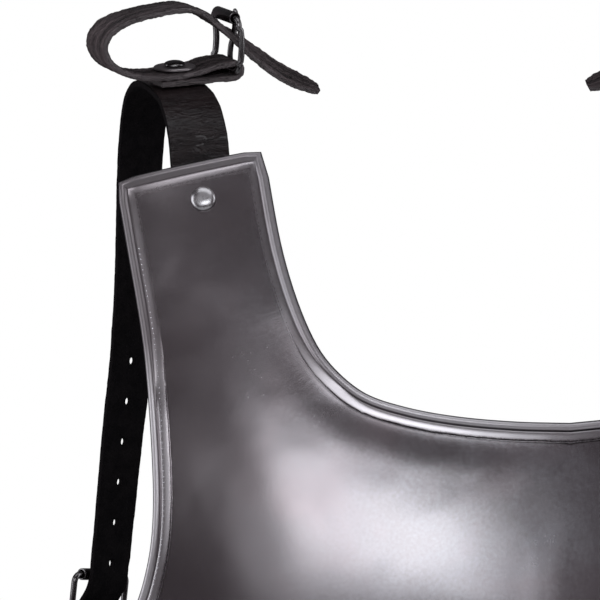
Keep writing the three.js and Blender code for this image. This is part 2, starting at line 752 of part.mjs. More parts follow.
function shoulderStrap() {
  const half = STRAP_WIDTH / 2;
  const rows = [[20, 1.2], [0, 0]].map(([below, further]) => {
    const height = heightAtDrop(RIVET_DROP + below);
    return { ...behindPlate(angleAt(RIVET_OUT, height), height, UNDER_TAB + further).at, turn: -17, roll: 0 };
  });
  rows.push(...SHOULDER_PATH.map((row) => ({ ...pathPoint(row), turn: row.turn, roll: row.roll })));
  const stations = spacedCurve(rows, ["x", "y", "z"], 34).map(({ x, y, z, turn, roll }) => ({
    at: vec(x, y, z),
    across: widthAt(turn, roll),
    half,
  }));
  const inner = [[27, -4.3], [21, -4.4], [16, -3.2], [9.5, 0.5], [4.7, 5.2], [0, 6.5], [-5, 6.4]];
  for (const [along, out] of inner) {
    stations.push({ at: inPlace(sideBuckle, 0, along, out), across: sideBuckle.across, half });
  }
  const { step } = flank;
  const shares = [1, 1, 1, 0.94, 0.6];
  const over = 3 * LAYER + FOLD_BULGE;
  [3, 5, 7, 8, 9].forEach((i, k) => stations.push({ ...step(i, over), half: half * shares[k] }));
  return stations;
}

const flank = flankStrap();
const strapLine = shoulderStrap();

// Punched holes down the back, above the one that the tongue is through
function strapHoles() {
  const holes = [];
  const engaged = inPlace(sideBuckle, 0, 7, 3);
  for (let i = 1; i <= STRAP_HOLES; i += 1) {
    const z = engaged.z + 2.5 + i * STRAP_HOLE_PITCH;
    const k = strapLine.findIndex(({ at }, j) => j > 20 && at.z <= z);
    const [a, b] = [strapLine[k - 1], strapLine[k]];
    const at = a.at.clone().lerp(b.at, (a.at.z - z) / (a.at.z - b.at.z));
    const tangent = b.at.clone().sub(a.at).normalize();
    holes.push(bar(STRAP_HOLE_RADIUS, 8, 6, at, tangent.cross(b.across)));
  }
  return holes;
}

// The loop stands on the top of the shoulder strap, turned a little on its rivet.
const LOOP_TURN = 10;
const LOOP_BACK = 20;
function loopPlace() {
  const k = strapLine.findIndex(({ at }) => at.y >= LOOP_BACK);
  const { at, across } = strapLine[k];
  const tangent = strapLine[k + 1].at.clone().sub(strapLine[k - 1].at).normalize();
  const wide = across.clone().addScaledVector(tangent, -across.dot(tangent)).normalize();
  const out = wide.clone().cross(tangent);
  const loopAcross = vec(Math.cos(degrees(LOOP_TURN)), Math.sin(degrees(LOOP_TURN)), 0);
  loopAcross.addScaledVector(out, -loopAcross.dot(out)).normalize();
  return {
    at: at.clone().addScaledVector(out, LEATHER / 2),
    across: loopAcross,
    along: out.clone().cross(loopAcross),
    out,
  };
}
const seat = loopPlace();

// Loop strap, seen from the front: across and up from the rivet
const LOOP_SPAN = 70;
const LOOP_PATH = [
  { across: -0.129, up: 0.066, twist: 0 },
  { across: -0.243, up: 0.077, twist: 0 },
  { across: -0.364, up: 0.116, twist: 0 },
  { across: -0.457, up: 0.189, twist: 0 },
  { across: -0.489, up: 0.280, twist: 0 },
  { across: -0.446, up: 0.361, twist: 0 },
  { across: -0.326, up: 0.420, twist: 0 },
  { across: -0.143, up: 0.450, twist: 0 },
  { across: 0.029, up: 0.459, twist: 0 },
  { across: 0.121, up: 0.440, twist: 0 },
  { across: 0.200, up: 0.391, twist: 0 },
  { across: 0.297, up: 0.317, twist: 0 },
  { across: 0.379, up: 0.251, twist: 0 },
  { across: 0.457, up: 0.191, twist: 4 },
  { across: 0.571, up: 0.111, twist: 12 },
  { across: 0.714, up: 0.017, twist: 20 },
  { across: 0.886, up: -0.077, twist: 25 },
];
const UNDER_LAYER = GAP + LEATHER / 2 + 0.3; // middle of the loop's lower leather over the strap's face
const UPPER_LAYER = UNDER_LAYER + LEATHER + GAP;
const TOP_LAYER = UPPER_LAYER + LEATHER / 2 + GAP; // where the washer's underside lies
const WASHER_LIFT = 0.2; // for the loop's curve under the washer
const loopBuckle = {
  at: inPlace(seat, 23.5, 0, UNDER_LAYER + 3),
  across: seat.along.clone().negate(),
};
loopBuckle.along = seat.out.clone().addScaledVector(seat.across, 0.02).normalize();
loopBuckle.out = loopBuckle.along.clone().cross(loopBuckle.across);
const LOOP_TONGUE = [
  [-2.6, -1.5], [-3, 0.5], [-2.1, 2.1], [0, 3], [10, 4], [BUCKLE_LENGTH, 4.3], [BUCKLE_LENGTH + 2.5, 4],
];
const loopSet = buckle(loopBuckle, LOOP_BUCKLE_WIDTH / 2, LOOP_TONGUE);

function loopStrap() {
  const half = LOOP_WIDTH / 2;
  const across = seat.along;
  const at = (x, up) => inPlace(seat, x, 0, up);
  const stations = [-9.5, 0, 9, 17].map((x) => ({ at: at(x, UNDER_LAYER), across, half }));
  for (const a of [-90, -60, -30, 0, 30, 60, 90, 110]) {
    const centre = loopBuckle.at.clone();
    centre.addScaledVector(seat.across, FOLD_RADIUS * Math.cos(degrees(a)));
    centre.addScaledVector(seat.out, FOLD_RADIUS * Math.sin(degrees(a)));
    stations.push({ at: centre, across, half });
  }
  for (const [x, lift] of [[14, 1.45], [7, 0.15], [0, 0]]) {
    stations.push({ at: at(x, UPPER_LAYER + lift), across, half });
  }
  const rows = LOOP_PATH.map(({ across: x, up, twist }) => ({ x: x * LOOP_SPAN, up: up * LOOP_SPAN, twist }));
  const line = spacedCurve(rows, ["x", "up"], 20);
  line.forEach(({ x, up, twist }, i) => {
    const left = line.length - 1 - i;
    const taper = [0.45, 0.8, 0.95][left] ?? 1;
    const lean = degrees(twist);
    const wide = seat.along
      .clone()
      .multiplyScalar(Math.cos(lean))
      .addScaledVector(seat.out, Math.sin(lean));
    stations.push({ at: at(x, up), across: wide, half: half * taper });
  });
  return stations;
}

// Assembly

const drill = (point, direction) => bar(SHANK_RADIUS + GAP, 24, 8, point, direction);

const rivetHeight = heightAtDrop(RIVET_DROP);
const shoulderRivet = behindPlate(angleAt(RIVET_OUT, rivetHeight), rivetHeight, 0);
const flankRivet = behindPlate(flankRivetAngle, heightAtDrop(FLANK_RIVET_DROP), 0);
const shoulderDrill = drill(shoulderRivet.at, shoulderRivet.normal);
const flankDrill = drill(flankRivet.at, flankRivet.normal);

const loopDrill = drill(seat.at, seat.out);
const washerMiddle = TOP_LAYER + WASHER_LIFT + WASHER_THICKNESS / 2;
const washerTop = washerMiddle + WASHER_THICKNESS / 2;

const breastplate = new THREE.Group();
const add = (name, geometry, material, parent) => {
  const mesh = new THREE.Mesh(geometry, material);
  mesh.name = name;
  parent.add(mesh);
};
const addPair = (name, geometry, material) => {
  add(`${name}_right`, geometry, material, breastplate);
  add(`${name}_left`, mirrored(geometry), material, breastplate);
};

const plateDrills = [shoulderDrill, flankDrill].flatMap((tool) => [tool, mirrored(tool)]);
add("breastplate", cut(sheet, plateDrills), steel, breastplate);

const strapBack = UNDER_TAB + LEATHER / 2 + 4 * GAP;
addPair("shoulder_rivet", rivet(shoulderRivet.at, shoulderRivet.normal, strapBack), steel);
const strapCuts = [shoulderDrill, loopDrill, side.slot, ...strapHoles()];
addPair("shoulder_strap", cut(ribbon(strapLine), strapCuts), leather);
addPair("pauldron_strap", cut(ribbon(loopStrap()), [loopDrill, loopSet.slot]), leather);
addPair(
  "pauldron_washer",
  ring(SHANK_RADIUS + GAP, WASHER_RADIUS, WASHER_THICKNESS, 16, inPlace(seat, 0, 0, washerMiddle), seat.out),
  darkSteel,
);
const loopRivetDepth = washerTop + LEATHER + GAP; // down to the strap's underside
addPair(
  "pauldron_rivet",
  rivet(inPlace(seat, 0, 0, washerTop), seat.out, loopRivetDepth, LOOP_HEAD_RADIUS, LOOP_HEAD_HEIGHT),
  darkSteel,
);
addPair("pauldron_buckle_frame", loopSet.frame, darkSteel);
addPair("pauldron_buckle_roller", loopSet.roller, darkSteel);
addPair("pauldron_buckle_tongue", loopSet.tongue, darkSteel);
addPair("flank_strap", cut(ribbon(flank.stations), [flankDrill, side.slot]), leather);
const flankBack = UNDER_SIDE + LEATHER / 2 + 2 * GAP;
addPair("flank_rivet", rivet(flankRivet.at, flankRivet.normal, flankBack), steel);
addPair("flank_buckle_frame", side.frame, darkSteel);
addPair("flank_buckle_roller", side.roller, darkSteel);
addPair("flank_buckle_tongue", side.tongue, darkSteel);

export default breastplate;
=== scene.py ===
# A steel breastplate with leather shoulder straps
#
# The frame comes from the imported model. Each section below makes one piece, or a group of like pieces, in the
# order in which the breastplate is put together. Lengths are in millimetres until a mesh is made. Materials,
# lamps and the floor are in metres.

import math

import bpy
import numpy as np
from mathutils.kdtree import KDTree
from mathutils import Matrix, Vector, noise


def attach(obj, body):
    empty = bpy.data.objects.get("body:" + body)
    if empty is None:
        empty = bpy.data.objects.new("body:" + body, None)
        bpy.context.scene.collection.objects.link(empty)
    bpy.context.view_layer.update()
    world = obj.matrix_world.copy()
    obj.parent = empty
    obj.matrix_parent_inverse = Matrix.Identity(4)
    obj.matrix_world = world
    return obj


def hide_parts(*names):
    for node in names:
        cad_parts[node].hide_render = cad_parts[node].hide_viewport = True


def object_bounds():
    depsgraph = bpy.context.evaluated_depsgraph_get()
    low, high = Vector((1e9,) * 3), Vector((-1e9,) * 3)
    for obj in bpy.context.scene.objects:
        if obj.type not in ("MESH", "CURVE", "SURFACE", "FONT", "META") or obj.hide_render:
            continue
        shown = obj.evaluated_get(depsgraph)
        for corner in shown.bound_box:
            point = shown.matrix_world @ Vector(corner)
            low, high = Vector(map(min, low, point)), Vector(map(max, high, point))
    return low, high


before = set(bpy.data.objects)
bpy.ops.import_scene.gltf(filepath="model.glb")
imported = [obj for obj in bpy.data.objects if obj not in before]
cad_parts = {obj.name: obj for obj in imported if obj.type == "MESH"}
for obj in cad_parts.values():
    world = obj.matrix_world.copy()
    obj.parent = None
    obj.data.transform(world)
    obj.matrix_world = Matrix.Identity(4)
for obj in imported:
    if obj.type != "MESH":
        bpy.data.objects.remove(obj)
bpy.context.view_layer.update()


# Raised plate
#
# One steel sheet, raised into the chest with a neck, two arm holes and two shoulder tabs. All round, its edge
# is rolled over a wire, and the cut end of the sheet lies on the outside as a narrow flange.

MM = 0.001
PLATE_HEIGHT = 450
PLATE_HALF_WIDTH = 188
PLATE_DEPTH = 150
SHEET = 1.5
TAB_TOP_BELOW_SEAT = 23.6
NECK_WIDTH = 208.8
NECK_DROP = 103.8
SHOULDER_WIDTH = 325.4
TAB_SLOPE_DROP = 10
ARMHOLE_DROP = 236
SIDE_EDGE_DEG = 92
FLARE_HEIGHT = 2.6
FLARE_WIDTH = 22
ROLL_RADIUS = 1.75
ROLL_MIDDLE = 4.95
BORDER = 6.7
WAIST_CORNER = 14
ARMHOLE_LEVEL_OF_NECK = 0.68

# Rows and columns of the sheet's mesh, for half the plate
COLUMNS = 50
SIDE_ROWS = 55
CORNER_ROWS = 15
ARMPIT_ROWS = 45
TAB_ROWS = 65
NECK_ROW = SIDE_ROWS + ARMPIT_ROWS
TOP_ROW = NECK_ROW + TAB_ROWS

SECTIONS = {
    "height": [0, 0.045, 0.1, 0.21, 0.35, 0.5, 0.62, 0.74, 0.87, 1],
    "half_width": [0.925, 0.895, 0.893, 0.925, 0.97, 0.995, 1.005, 1.01, 1.02, 1.04],
    "depth": [0.8, 0.74, 0.745, 0.85, 0.96, 1, 0.95, 0.82, 0.64, 0.44],
    "set_back": [0, 0, 0, 0, 0, 0, 0, 0, 0.02, 0.06],
    "squareness": [2.2, 2.2, 2.2, 2.2, 2.2, 2.2, 2.2, 2.15, 2.05, 2],
}
FLARE = {"height": [0, 0.35, 0.55, 0.75, 0.9, 1], "share": [1, 1, 0.85, 0.46, 0.27, 0.23]}
NECK = {
    "across": [0, 0.2, 0.42, 0.6, 0.74, 0.84, 0.905, 0.955, 0.985, 1],
    "drop": [1, 0.988, 0.962, 0.924, 0.87, 0.78, 0.672, 0.5, 0.3, 0],
}
ARMHOLE = {
    "turn": [1, 0.975, 0.89, 0.72, 0.49, 0.29, 0.18, 0.09, 0.03, -0.02, -0.043, -0.043, -0.014, 0],
    "drop": [1, 0.955, 0.925, 0.9, 0.862, 0.806, 0.748, 0.69, 0.637, 0.564, 0.47, 0.273, 0.107, 0],
}


def between(table, key, at):
    """A table's columns at places between its rows, on a smooth curve through every row."""
    keys = np.asarray(table[key], float)
    at = np.asarray(at, float)
    row = np.clip(np.searchsorted(keys, at, side="right") - 1, 0, len(keys) - 2)
    span = keys[row + 1] - keys[row]
    u = (at - keys[row]) / span
    before = np.maximum(np.arange(len(keys)) - 1, 0)
    after = np.minimum(np.arange(len(keys)) + 1, len(keys) - 1)
    read = {}
    for name, column in table.items():
        column = np.asarray(column, float)
        slope = (column[after] - column[before]) / (keys[after] - keys[before])
        start = (2 * u**3 - 3 * u**2 + 1) * column[row] + (u**3 - 2 * u**2 + u) * span * slope[row]
        end = (3 * u**2 - 2 * u**3) * column[row + 1] + (u**3 - u**2) * span * slope[row + 1]
        read[name] = start + end
    return read


def run_length(points):
    return np.r_[0, np.cumsum(np.linalg.norm(np.diff(points, axis=0), axis=1))]


def evenly(table, measured, steps):
    """A table read at evenly spaced places, where the distance is taken over the measured columns."""
    run = run_length(np.stack([np.asarray(table[name], float) for name in measured], 1))
    fine = between({**table, "run": run}, "run", np.linspace(0, run[-1], 401))
    length = run_length(np.stack([fine[name] for name in measured], 1))
    want = np.linspace(0, length[-1], steps + 1)
    return {name: np.interp(want, length, fine[name]) for name in table}


def section(height):
    row = between(SECTIONS, "height", height)
    return row["half_width"] * PLATE_HALF_WIDTH, row["depth"], row["set_back"], 2 / row["squareness"]


def face_point(angle, height):
    """A point of the plate's outer face, at an angle round the body and a share of the plate's height."""
    half_width, depth, set_back, power = section(height)
    sine, cosine = np.sin(angle), np.cos(angle)
    x = half_width * np.sign(sine) * np.abs(sine) ** power
    y = PLATE_DEPTH * (set_back - depth * np.sign(cosine) * np.abs(cosine) ** power)
    z = (np.asarray(height) - 1) * PLATE_HEIGHT - TAB_TOP_BELOW_SEAT
    return np.stack([x, y, z + 0 * x], -1)


def angle_at(out, height):
    half_width, _, _, power = section(height)
    return np.arcsin((out / half_width) ** (1 / power))


def below_tab(drop):
    return 1 - np.asarray(drop, float) / PLATE_HEIGHT


tab_outer_angle = angle_at(SHOULDER_WIDTH / 2 - BORDER, below_tab(BORDER + TAB_SLOPE_DROP))
side_angle = math.radians(SIDE_EDGE_DEG) - BORDER / PLATE_HALF_WIDTH
waist_height = BORDER / PLATE_HEIGHT
armpit_height = below_tab(BORDER + TAB_SLOPE_DROP + ARMHOLE_DROP)


def neck_line(steps):
    height = below_tab(BORDER + NECK_DROP * np.array(NECK["drop"]))
    across = (NECK_WIDTH / 2 + BORDER) * np.array(NECK["across"])
    return evenly({"angle": angle_at(across, height), "height": height}, ["angle", "height"], steps)


def armhole_line(from_drop, to_drop, steps):
    drop = np.array(ARMHOLE["drop"])
    angle = tab_outer_angle + (side_angle - tab_outer_angle) * np.array(ARMHOLE["turn"])
    line = {"angle": angle, "height": below_tab(BORDER + TAB_SLOPE_DROP + ARMHOLE_DROP * drop), "drop": drop}
    whole = evenly(line, ["angle", "height"], 200)
    kept = (whole["drop"] <= from_drop + 1e-6) & (whole["drop"] >= to_drop - 1e-6)
    return evenly({name: column[kept] for name, column in whole.items()}, ["angle", "height"], steps)


def side_line():
    """The side edge from the waist's rounded corner to the foot of the arm hole."""
    angle = side_angle - WAIST_CORNER * np.array([1, 0.3, 0]) / PLATE_HALF_WIDTH
    height = waist_height + WAIST_CORNER * np.array([0, 0.3, 1]) / PLATE_HEIGHT
    corner = evenly({"angle": angle, "height": height}, ["angle", "height"], CORNER_ROWS)
    left = SIDE_ROWS - CORNER_ROWS
    rise = np.linspace(height[-1], armpit_height, left + 1)[1:]
    return np.r_[corner["angle"], np.full(left, side_angle)], np.r_[corner["height"], rise]


def half_grid():
    """The outer face's points on the wearer's left half: rows from the waist up, columns from the middle."""
    neck = neck_line(TAB_ROWS)
    armpit = armhole_line(1, ARMHOLE_LEVEL_OF_NECK, ARMPIT_ROWS)
    tab = armhole_line(ARMHOLE_LEVEL_OF_NECK, 0, TAB_ROWS)
    side = side_line()
    middle = np.linspace(waist_height, neck["height"][0], NECK_ROW + 1)[:-1]
    inner = np.stack([np.r_[np.zeros(NECK_ROW), neck["angle"]], np.r_[middle, neck["height"]]])
    outer_angle = np.r_[side[0], armpit["angle"][1:], tab["angle"][1:]]
    outer_height = np.r_[side[1], armpit["height"][1:], tab["height"][1:]]
    outer = np.stack([outer_angle, outer_height])
    share = np.linspace(0, 1, COLUMNS + 1)
    angle, height = inner[:, :, None] + (outer - inner)[:, :, None] * share
    return face_point(angle, height)


def plate_outline():
    """The sheet's outline once round: waist, left side, left tab, neck, right tab, right side."""
    right = [(0, -1, c) for c in range(COLUMNS, 0, -1)]
    waist = [(0, 1, c) for c in range(COLUMNS)]
    left_side = [(r, 1, COLUMNS) for r in range(TOP_ROW)]
    left_tab = [(TOP_ROW, 1, c) for c in range(COLUMNS, 0, -1)]
    left_neck = [(r, 1, 0) for r in range(TOP_ROW, NECK_ROW, -1)]
    right_neck = [(r, -1, 0) for r in range(NECK_ROW, TOP_ROW)]
    right_tab = [(TOP_ROW, -1, c) for c in range(COLUMNS)]
    right_side = [(r, -1, COLUMNS) for r in range(TOP_ROW, 0, -1)]
    return right + waist + left_side + left_tab + left_neck + right_neck + right_tab + right_side


def unit(vectors):
    return vectors / np.linalg.norm(vectors, axis=-1, keepdims=True)


def on_circle(degrees):
    return math.cos(math.radians(degrees)), math.sin(math.radians(degrees))


def nearest_on_line(points, line):
    """For each point, its distance to a closed line and how far along the line the nearest place is."""
    ahead = np.roll(line, -1, axis=0) - line
    length = np.linalg.norm(ahead, axis=1)
    starts = np.r_[0, np.cumsum(length)[:-1]]
    distance = np.empty(len(points))
    along = np.empty(len(points))
    for first in range(0, len(points), 2000):
        part = points[first : first + 2000, None] - line[None]
        share = np.clip((part * ahead).sum(-1) / (length**2), 0, 1)
        away = np.linalg.norm(part - share[..., None] * ahead, axis=-1)
        best = away.argmin(1)
        rows = np.arange(len(best))
        distance[first : first + 2000] = away[rows, best]
        along[first : first + 2000] = starts[best] + share[rows, best] * length[best]
    return distance, along


def as_quads(*corners):
    return np.stack(corners, -1).reshape(-1, 4)


def vertex_normals(points, quads):
    corners = points[quads]
    faces = np.cross(corners[:, 2] - corners[:, 0], corners[:, 3] - corners[:, 1])
    normals = np.zeros_like(points)
    for k in range(4):
        np.add.at(normals, quads[:, k], faces)
    return unit(normals)


def plate_front():
    """The outer face's points and quads, and the numbers of the points on its outline."""
    half = half_grid()
    number = {}
    points = []
    for side in (1, -1):
        for row in range(TOP_ROW + 1):
            for column in range(COLUMNS + 1):
                if side < 0 and column == 0 and row <= NECK_ROW:
                    number[row, side, column] = number[row, 1, column]
                    continue
                number[row, side, column] = len(points)
                points.append(half[row, column] * (side, 1, 1))
    quads = []
    for side in (1, -1):
        for row in range(TOP_ROW):
            for column in range(COLUMNS):
                ring = [(row, column), (row, column + 1), (row + 1, column + 1), (row + 1, column)]
                quads.append([number[r, side, c] for r, c in ring[::side]])
    outline = [number[place] for place in plate_outline()]
    return np.array(points), np.array(quads), np.array(outline)


front, front_quads, outline = plate_front()
plate_edge = front[outline]


def share_of_height(points):
    return 1 + (points[:, 2] + TAB_TOP_BELOW_SEAT) / PLATE_HEIGHT


def flare_at(points):
    """How far the sheet is turned outwards beside its edge."""
    distance = np.minimum(nearest_on_line(points, plate_edge)[0], FLARE_WIDTH)
    share = between(FLARE, "height", share_of_height(points))["share"]
    return FLARE_HEIGHT * share * (1 - distance / FLARE_WIDTH) ** 2


HOLLOW_DEPTH = 1.5
HOLLOW_WIDTH = 7
HOLLOW_RISE = {"rise": [8, 45], "share": [1, 0]}
HOLLOW_ALONG = {"aside": [10, 50, 90], "share": [0.6, 1, 1.1]}
NECK_LINE_FROM = 12


def hollow_at(points):
    """How far the sheet has sunk beside the neck's flange, where it was hammered down."""
    neck_low = -(TAB_TOP_BELOW_SEAT + NECK_DROP)
    at_neck = (np.abs(plate_edge[:, 0]) < NECK_WIDTH / 2) & (plate_edge[:, 2] > neck_low - NECK_LINE_FROM)
    distance = nearest_on_line(points, plate_edge[at_neck])[0]
    share = np.interp(points[:, 2] - neck_low, HOLLOW_RISE["rise"], HOLLOW_RISE["share"])
    share *= np.interp(np.abs(points[:, 0]), HOLLOW_ALONG["aside"], HOLLOW_ALONG["share"])
    return HOLLOW_DEPTH * share * np.exp(-((distance / HOLLOW_WIDTH) ** 2) / 2)


# Section of the rolled edge, from the flange's cut edge over the groove and round the roll. The first column
# is measured outwards along the plate, the second out of its face.
FLANGE_FOOT = -0.9
flange = [(-0.88, 0.6), (-0.76, 0.82), (-0.45, 0.92), (0.3, 1.0), (1.1, 1.06), (1.9, 1.06), (2.5, 0.98)]
groove = [(2.92, 0.82), (3.2, 0.62)]
ROLL_TURNS = (160, 146, 130, 112, 95, 75, 55, 35, 15, -5, -25, -45, -65, -85)
roll_circle = [on_circle(turn) for turn in ROLL_TURNS]
roll = [(ROLL_MIDDLE + ROLL_RADIUS * c, ROLL_RADIUS * (1 + s) - SHEET) for c, s in roll_circle]
rim_section = np.array(flange + groove + roll)
FLANGE_RISE = {"height": [0, 0.775, 0.8, 0.85, 1], "share": [1, 1, 0.45, 0, 0]}
TAB_RIM = [(-0.55, 0), (-0.2, 0), (0.15, 0.01), (0.6, 0.04), (1.2, 0.09), (1.9, 0.17), (2.4, 0.31)]
TAB_RIM += [(2.8, 0.52), (3.1, 0.77), (3.4, 1.08), (3.7, 1.41), (4.0, 1.7)]
RAGGED = 0.06
NICK_DEPTH = 0.15
NICK_FROM = 0.93
MITRE_LIMIT = 0.85


def rim_shape(points):
    """The rim's section at points of the outline. On the tabs the flange is smoothed away into the sheet."""
    share = np.interp(share_of_height(points), FLANGE_RISE["height"], FLANGE_RISE["share"])[:, None, None]
    shape = np.repeat(rim_section[None], len(points), axis=0)
    flat = len(TAB_RIM)
    shape[:, :flat] = share * shape[:, :flat] + (1 - share) * np.array(TAB_RIM)
    return shape


def plate_mesh():
    """Points, faces and, for each point, its place along the edge and its distance inside the edge."""
    distance, along = nearest_on_line(front, plate_edge)
    raised = flare_at(front) - hollow_at(front)
    points = front + vertex_normals(front, front_quads) * raised[:, None]
    normals = vertex_normals(points, front_quads)
    here = points[outline]
    arriving = unit(here - np.roll(here, 1, axis=0))
    leaving = unit(np.roll(here, -1, axis=0) - here)
    direction = unit(arriving + leaving)
    outwards = unit(np.cross(direction, normals[outline]))
    mitre = 1 / np.maximum(MITRE_LIMIT, (direction * leaving).sum(1))
    ragged = np.random.default_rng(7).normal(0, RAGGED, len(outline))
    ragged[np.random.default_rng(8).random(len(outline)) > NICK_FROM] -= NICK_DEPTH
    points[outline] += outwards * (FLANGE_FOOT + ragged)[:, None]
    shape = rim_shape(here)
    over = shape[..., 0] * mitre[:, None]
    over[:, :2] += ragged[:, None]
    rim = here[:, None] + outwards[:, None] * over[..., None] + normals[outline][:, None] * shape[..., 1:]
    back = front + vertex_normals(front, front_quads) * (raised - SHEET)[:, None]
    count, steps = len(front), len(rim_section)
    every = np.concatenate([points, back, rim.reshape(-1, 3)])
    rim_number = 2 * count + np.arange(len(outline) * steps).reshape(-1, steps)
    rings = np.concatenate([outline[:, None], rim_number, outline[:, None] + count], axis=1)
    following = np.roll(rings, -1, axis=0)
    rim_quads = as_quads(rings[:, :-1], rings[:, 1:], following[:, 1:], following[:, :-1])
    faces = np.concatenate([front_quads, front_quads[:, ::-1] + count, rim_quads])
    rim_along = np.repeat(along[outline], steps)
    rim_inside = -shape[..., 0].ravel()
    place = np.stack([np.r_[along, along, rim_along], np.r_[distance, distance, rim_inside]], 1)
    return every, faces, place


def new_object(name, data):
    made = bpy.data.objects.new(name, data)
    bpy.context.scene.collection.objects.link(made)
    return made


def new_piece(name, points, faces, materials, creased_from=38):
    """A smooth-shaded mesh object from points in millimetres."""
    mesh = bpy.data.meshes.new(name)
    mesh.from_pydata((np.asarray(points) * MM).tolist(), [], [list(map(int, face)) for face in faces])
    mesh.validate()
    mesh.shade_smooth()
    mesh.set_sharp_from_angle(angle=math.radians(creased_from))
    for material in materials:
        mesh.materials.append(material)
    return new_object(name, mesh)


def set_inputs(tree, node, values):
    """Gives a node's inputs their values, or links where the value is another node's output."""
    for name, value in values.items():
        if isinstance(value, bpy.types.NodeSocket):
            tree.links.new(value, node.inputs[name])
        else:
            node.inputs[name].default_value = value


def add_node(tree, kind, values=None, **settings):
    made = tree.nodes.new(kind)
    for name, value in settings.items():
        setattr(made, name, value)
    set_inputs(tree, made, values or {})
    return made


def maths(tree, operation, first, second=0.0, clamp=False):
    values = {0: first, 1: second}
    return add_node(tree, "ShaderNodeMath", values, operation=operation, use_clamp=clamp).outputs[0]


def ramp(tree, value, low, high, from_low=0.0, from_high=1.0):
    """A value turned from one range to another, and held at its ends."""
    values = {"Value": value, "From Min": from_low, "From Max": from_high, "To Min": low, "To Max": high}
    return add_node(tree, "ShaderNodeMapRange", values).outputs["Result"]


def mix_colours(tree, share, first, second):
    return add_node(tree, "ShaderNodeMix", {0: share, 6: first, 7: second}, data_type="RGBA").outputs[2]


def times(tree, product, *factors):
    for factor in factors:
        product = maths(tree, "MULTIPLY", product, factor)
    return product


def bump(tree, height, distance, beneath=None):
    """The normal of a height field, laid over another normal where one is given."""
    values = {"Height": height, "Distance": distance, "Strength": 1.0}
    if beneath:
        values["Normal"] = beneath
    return add_node(tree, "ShaderNodeBump", values).outputs[0]


def new_material(name):
    """A material, its node tree and its Principled shader."""
    material = bpy.data.materials.new(name)
    material.use_nodes = True
    return material, material.node_tree, material.node_tree.nodes["Principled BSDF"]


def new_group(name, kind, inputs, outputs):
    """An empty node group, with its sockets' kinds by name. An input that is a number is a float."""
    group = bpy.data.node_groups.new(name, kind)
    for label, given in inputs.items():
        socket = given if isinstance(given, str) else "Float"
        made = group.interface.new_socket(label, in_out="INPUT", socket_type=f"NodeSocket{socket}")
        if socket != given:
            made.default_value = given
    for label, socket in outputs.items():
        group.interface.new_socket(label, in_out="OUTPUT", socket_type=f"NodeSocket{socket}")
    return group, group.nodes.new("NodeGroupInput").outputs, group.nodes.new("NodeGroupOutput").inputs


def noise_field(tree, vector, scale, detail=3.0, roughness=0.5, distortion=0.0):
    values = {"Vector": vector, "Scale": scale, "Detail": detail, "Roughness": roughness}
    return add_node(tree, "ShaderNodeTexNoise", {**values, "Distortion": distortion}).outputs["Fac"]


def polished_steel():
    """Cloudy hand polish and fine scratches, for steel: a tone, a roughness mask and a height."""
    group, given, put = new_group(
        "hand_polish",
        "ShaderNodeTree",
        {"Vector": "Vector", "Cloud Scale": 20.0, "Scratch Scale": 900.0},
        {"Cloud": "Float", "Scratch": "Float", "Speckle": "Float"},
    )
    vector = given["Vector"]
    cloud = noise_field(group, vector, given["Cloud Scale"], 4.0, 0.55, 0.4)
    values = {"Vector": vector, "Scale": (1.0, 1.0, 0.12), "Rotation": (0.3, 0.5, 0.0)}
    stretched = add_node(group, "ShaderNodeMapping", values)
    scratch = noise_field(group, stretched.outputs[0], given["Scratch Scale"], 2.0, 0.6)
    speckle = noise_field(group, vector, given["Scratch Scale"], 2.0, 0.7)
    for name, field in (("Cloud", cloud), ("Scratch", scratch), ("Speckle", speckle)):
        group.links.new(field, put[name])
    return group


hand_polish = polished_steel()


def steel_fields(name, colours, rough, cloud_scale, scratch_scale):
    """A metal, and its fields: two colours mixed by the polish, a range of roughness and a height."""
    material, tree, shader = new_material(name)
    shader.inputs["Metallic"].default_value = 1.0
    place = add_node(tree, "ShaderNodeTexCoord").outputs["Object"]
    values = {"Vector": place, "Cloud Scale": cloud_scale, "Scratch Scale": scratch_scale}
    polish = add_node(tree, "ShaderNodeGroup", values, node_tree=hand_polish).outputs
    cloud, speckle = polish["Cloud"], polish["Speckle"]
    mottle = times(tree, maths(tree, "SUBTRACT", speckle, 0.5), 0.7)
    share = ramp(tree, maths(tree, "ADD", cloud, mottle), 0.0, 1.0, 0.3, 0.7)
    uneven = maths(tree, "ADD", cloud, times(tree, speckle, 0.5))
    fields = {
        "place": place,
        "cloud": cloud,
        "colour": mix_colours(tree, share, *colours),
        "roughness": ramp(tree, uneven, *rough, 0.5, 1.05),
        "height": maths(tree, "ADD", polish["Scratch"], times(tree, speckle, 0.6)),
    }
    return material, tree, shader, fields


def steel(name, colours, rough, cloud_scale, scratch_scale, relief):
    """A polished steel whose scratches are a relief deep, in metres."""
    material, tree, shader, fields = steel_fields(name, colours, rough, cloud_scale, scratch_scale)
    normal = bump(tree, fields["height"], relief)
    put = {"Base Color": fields["colour"], "Roughness": fields["roughness"], "Normal": normal}
    set_inputs(tree, shader, put)
    return material


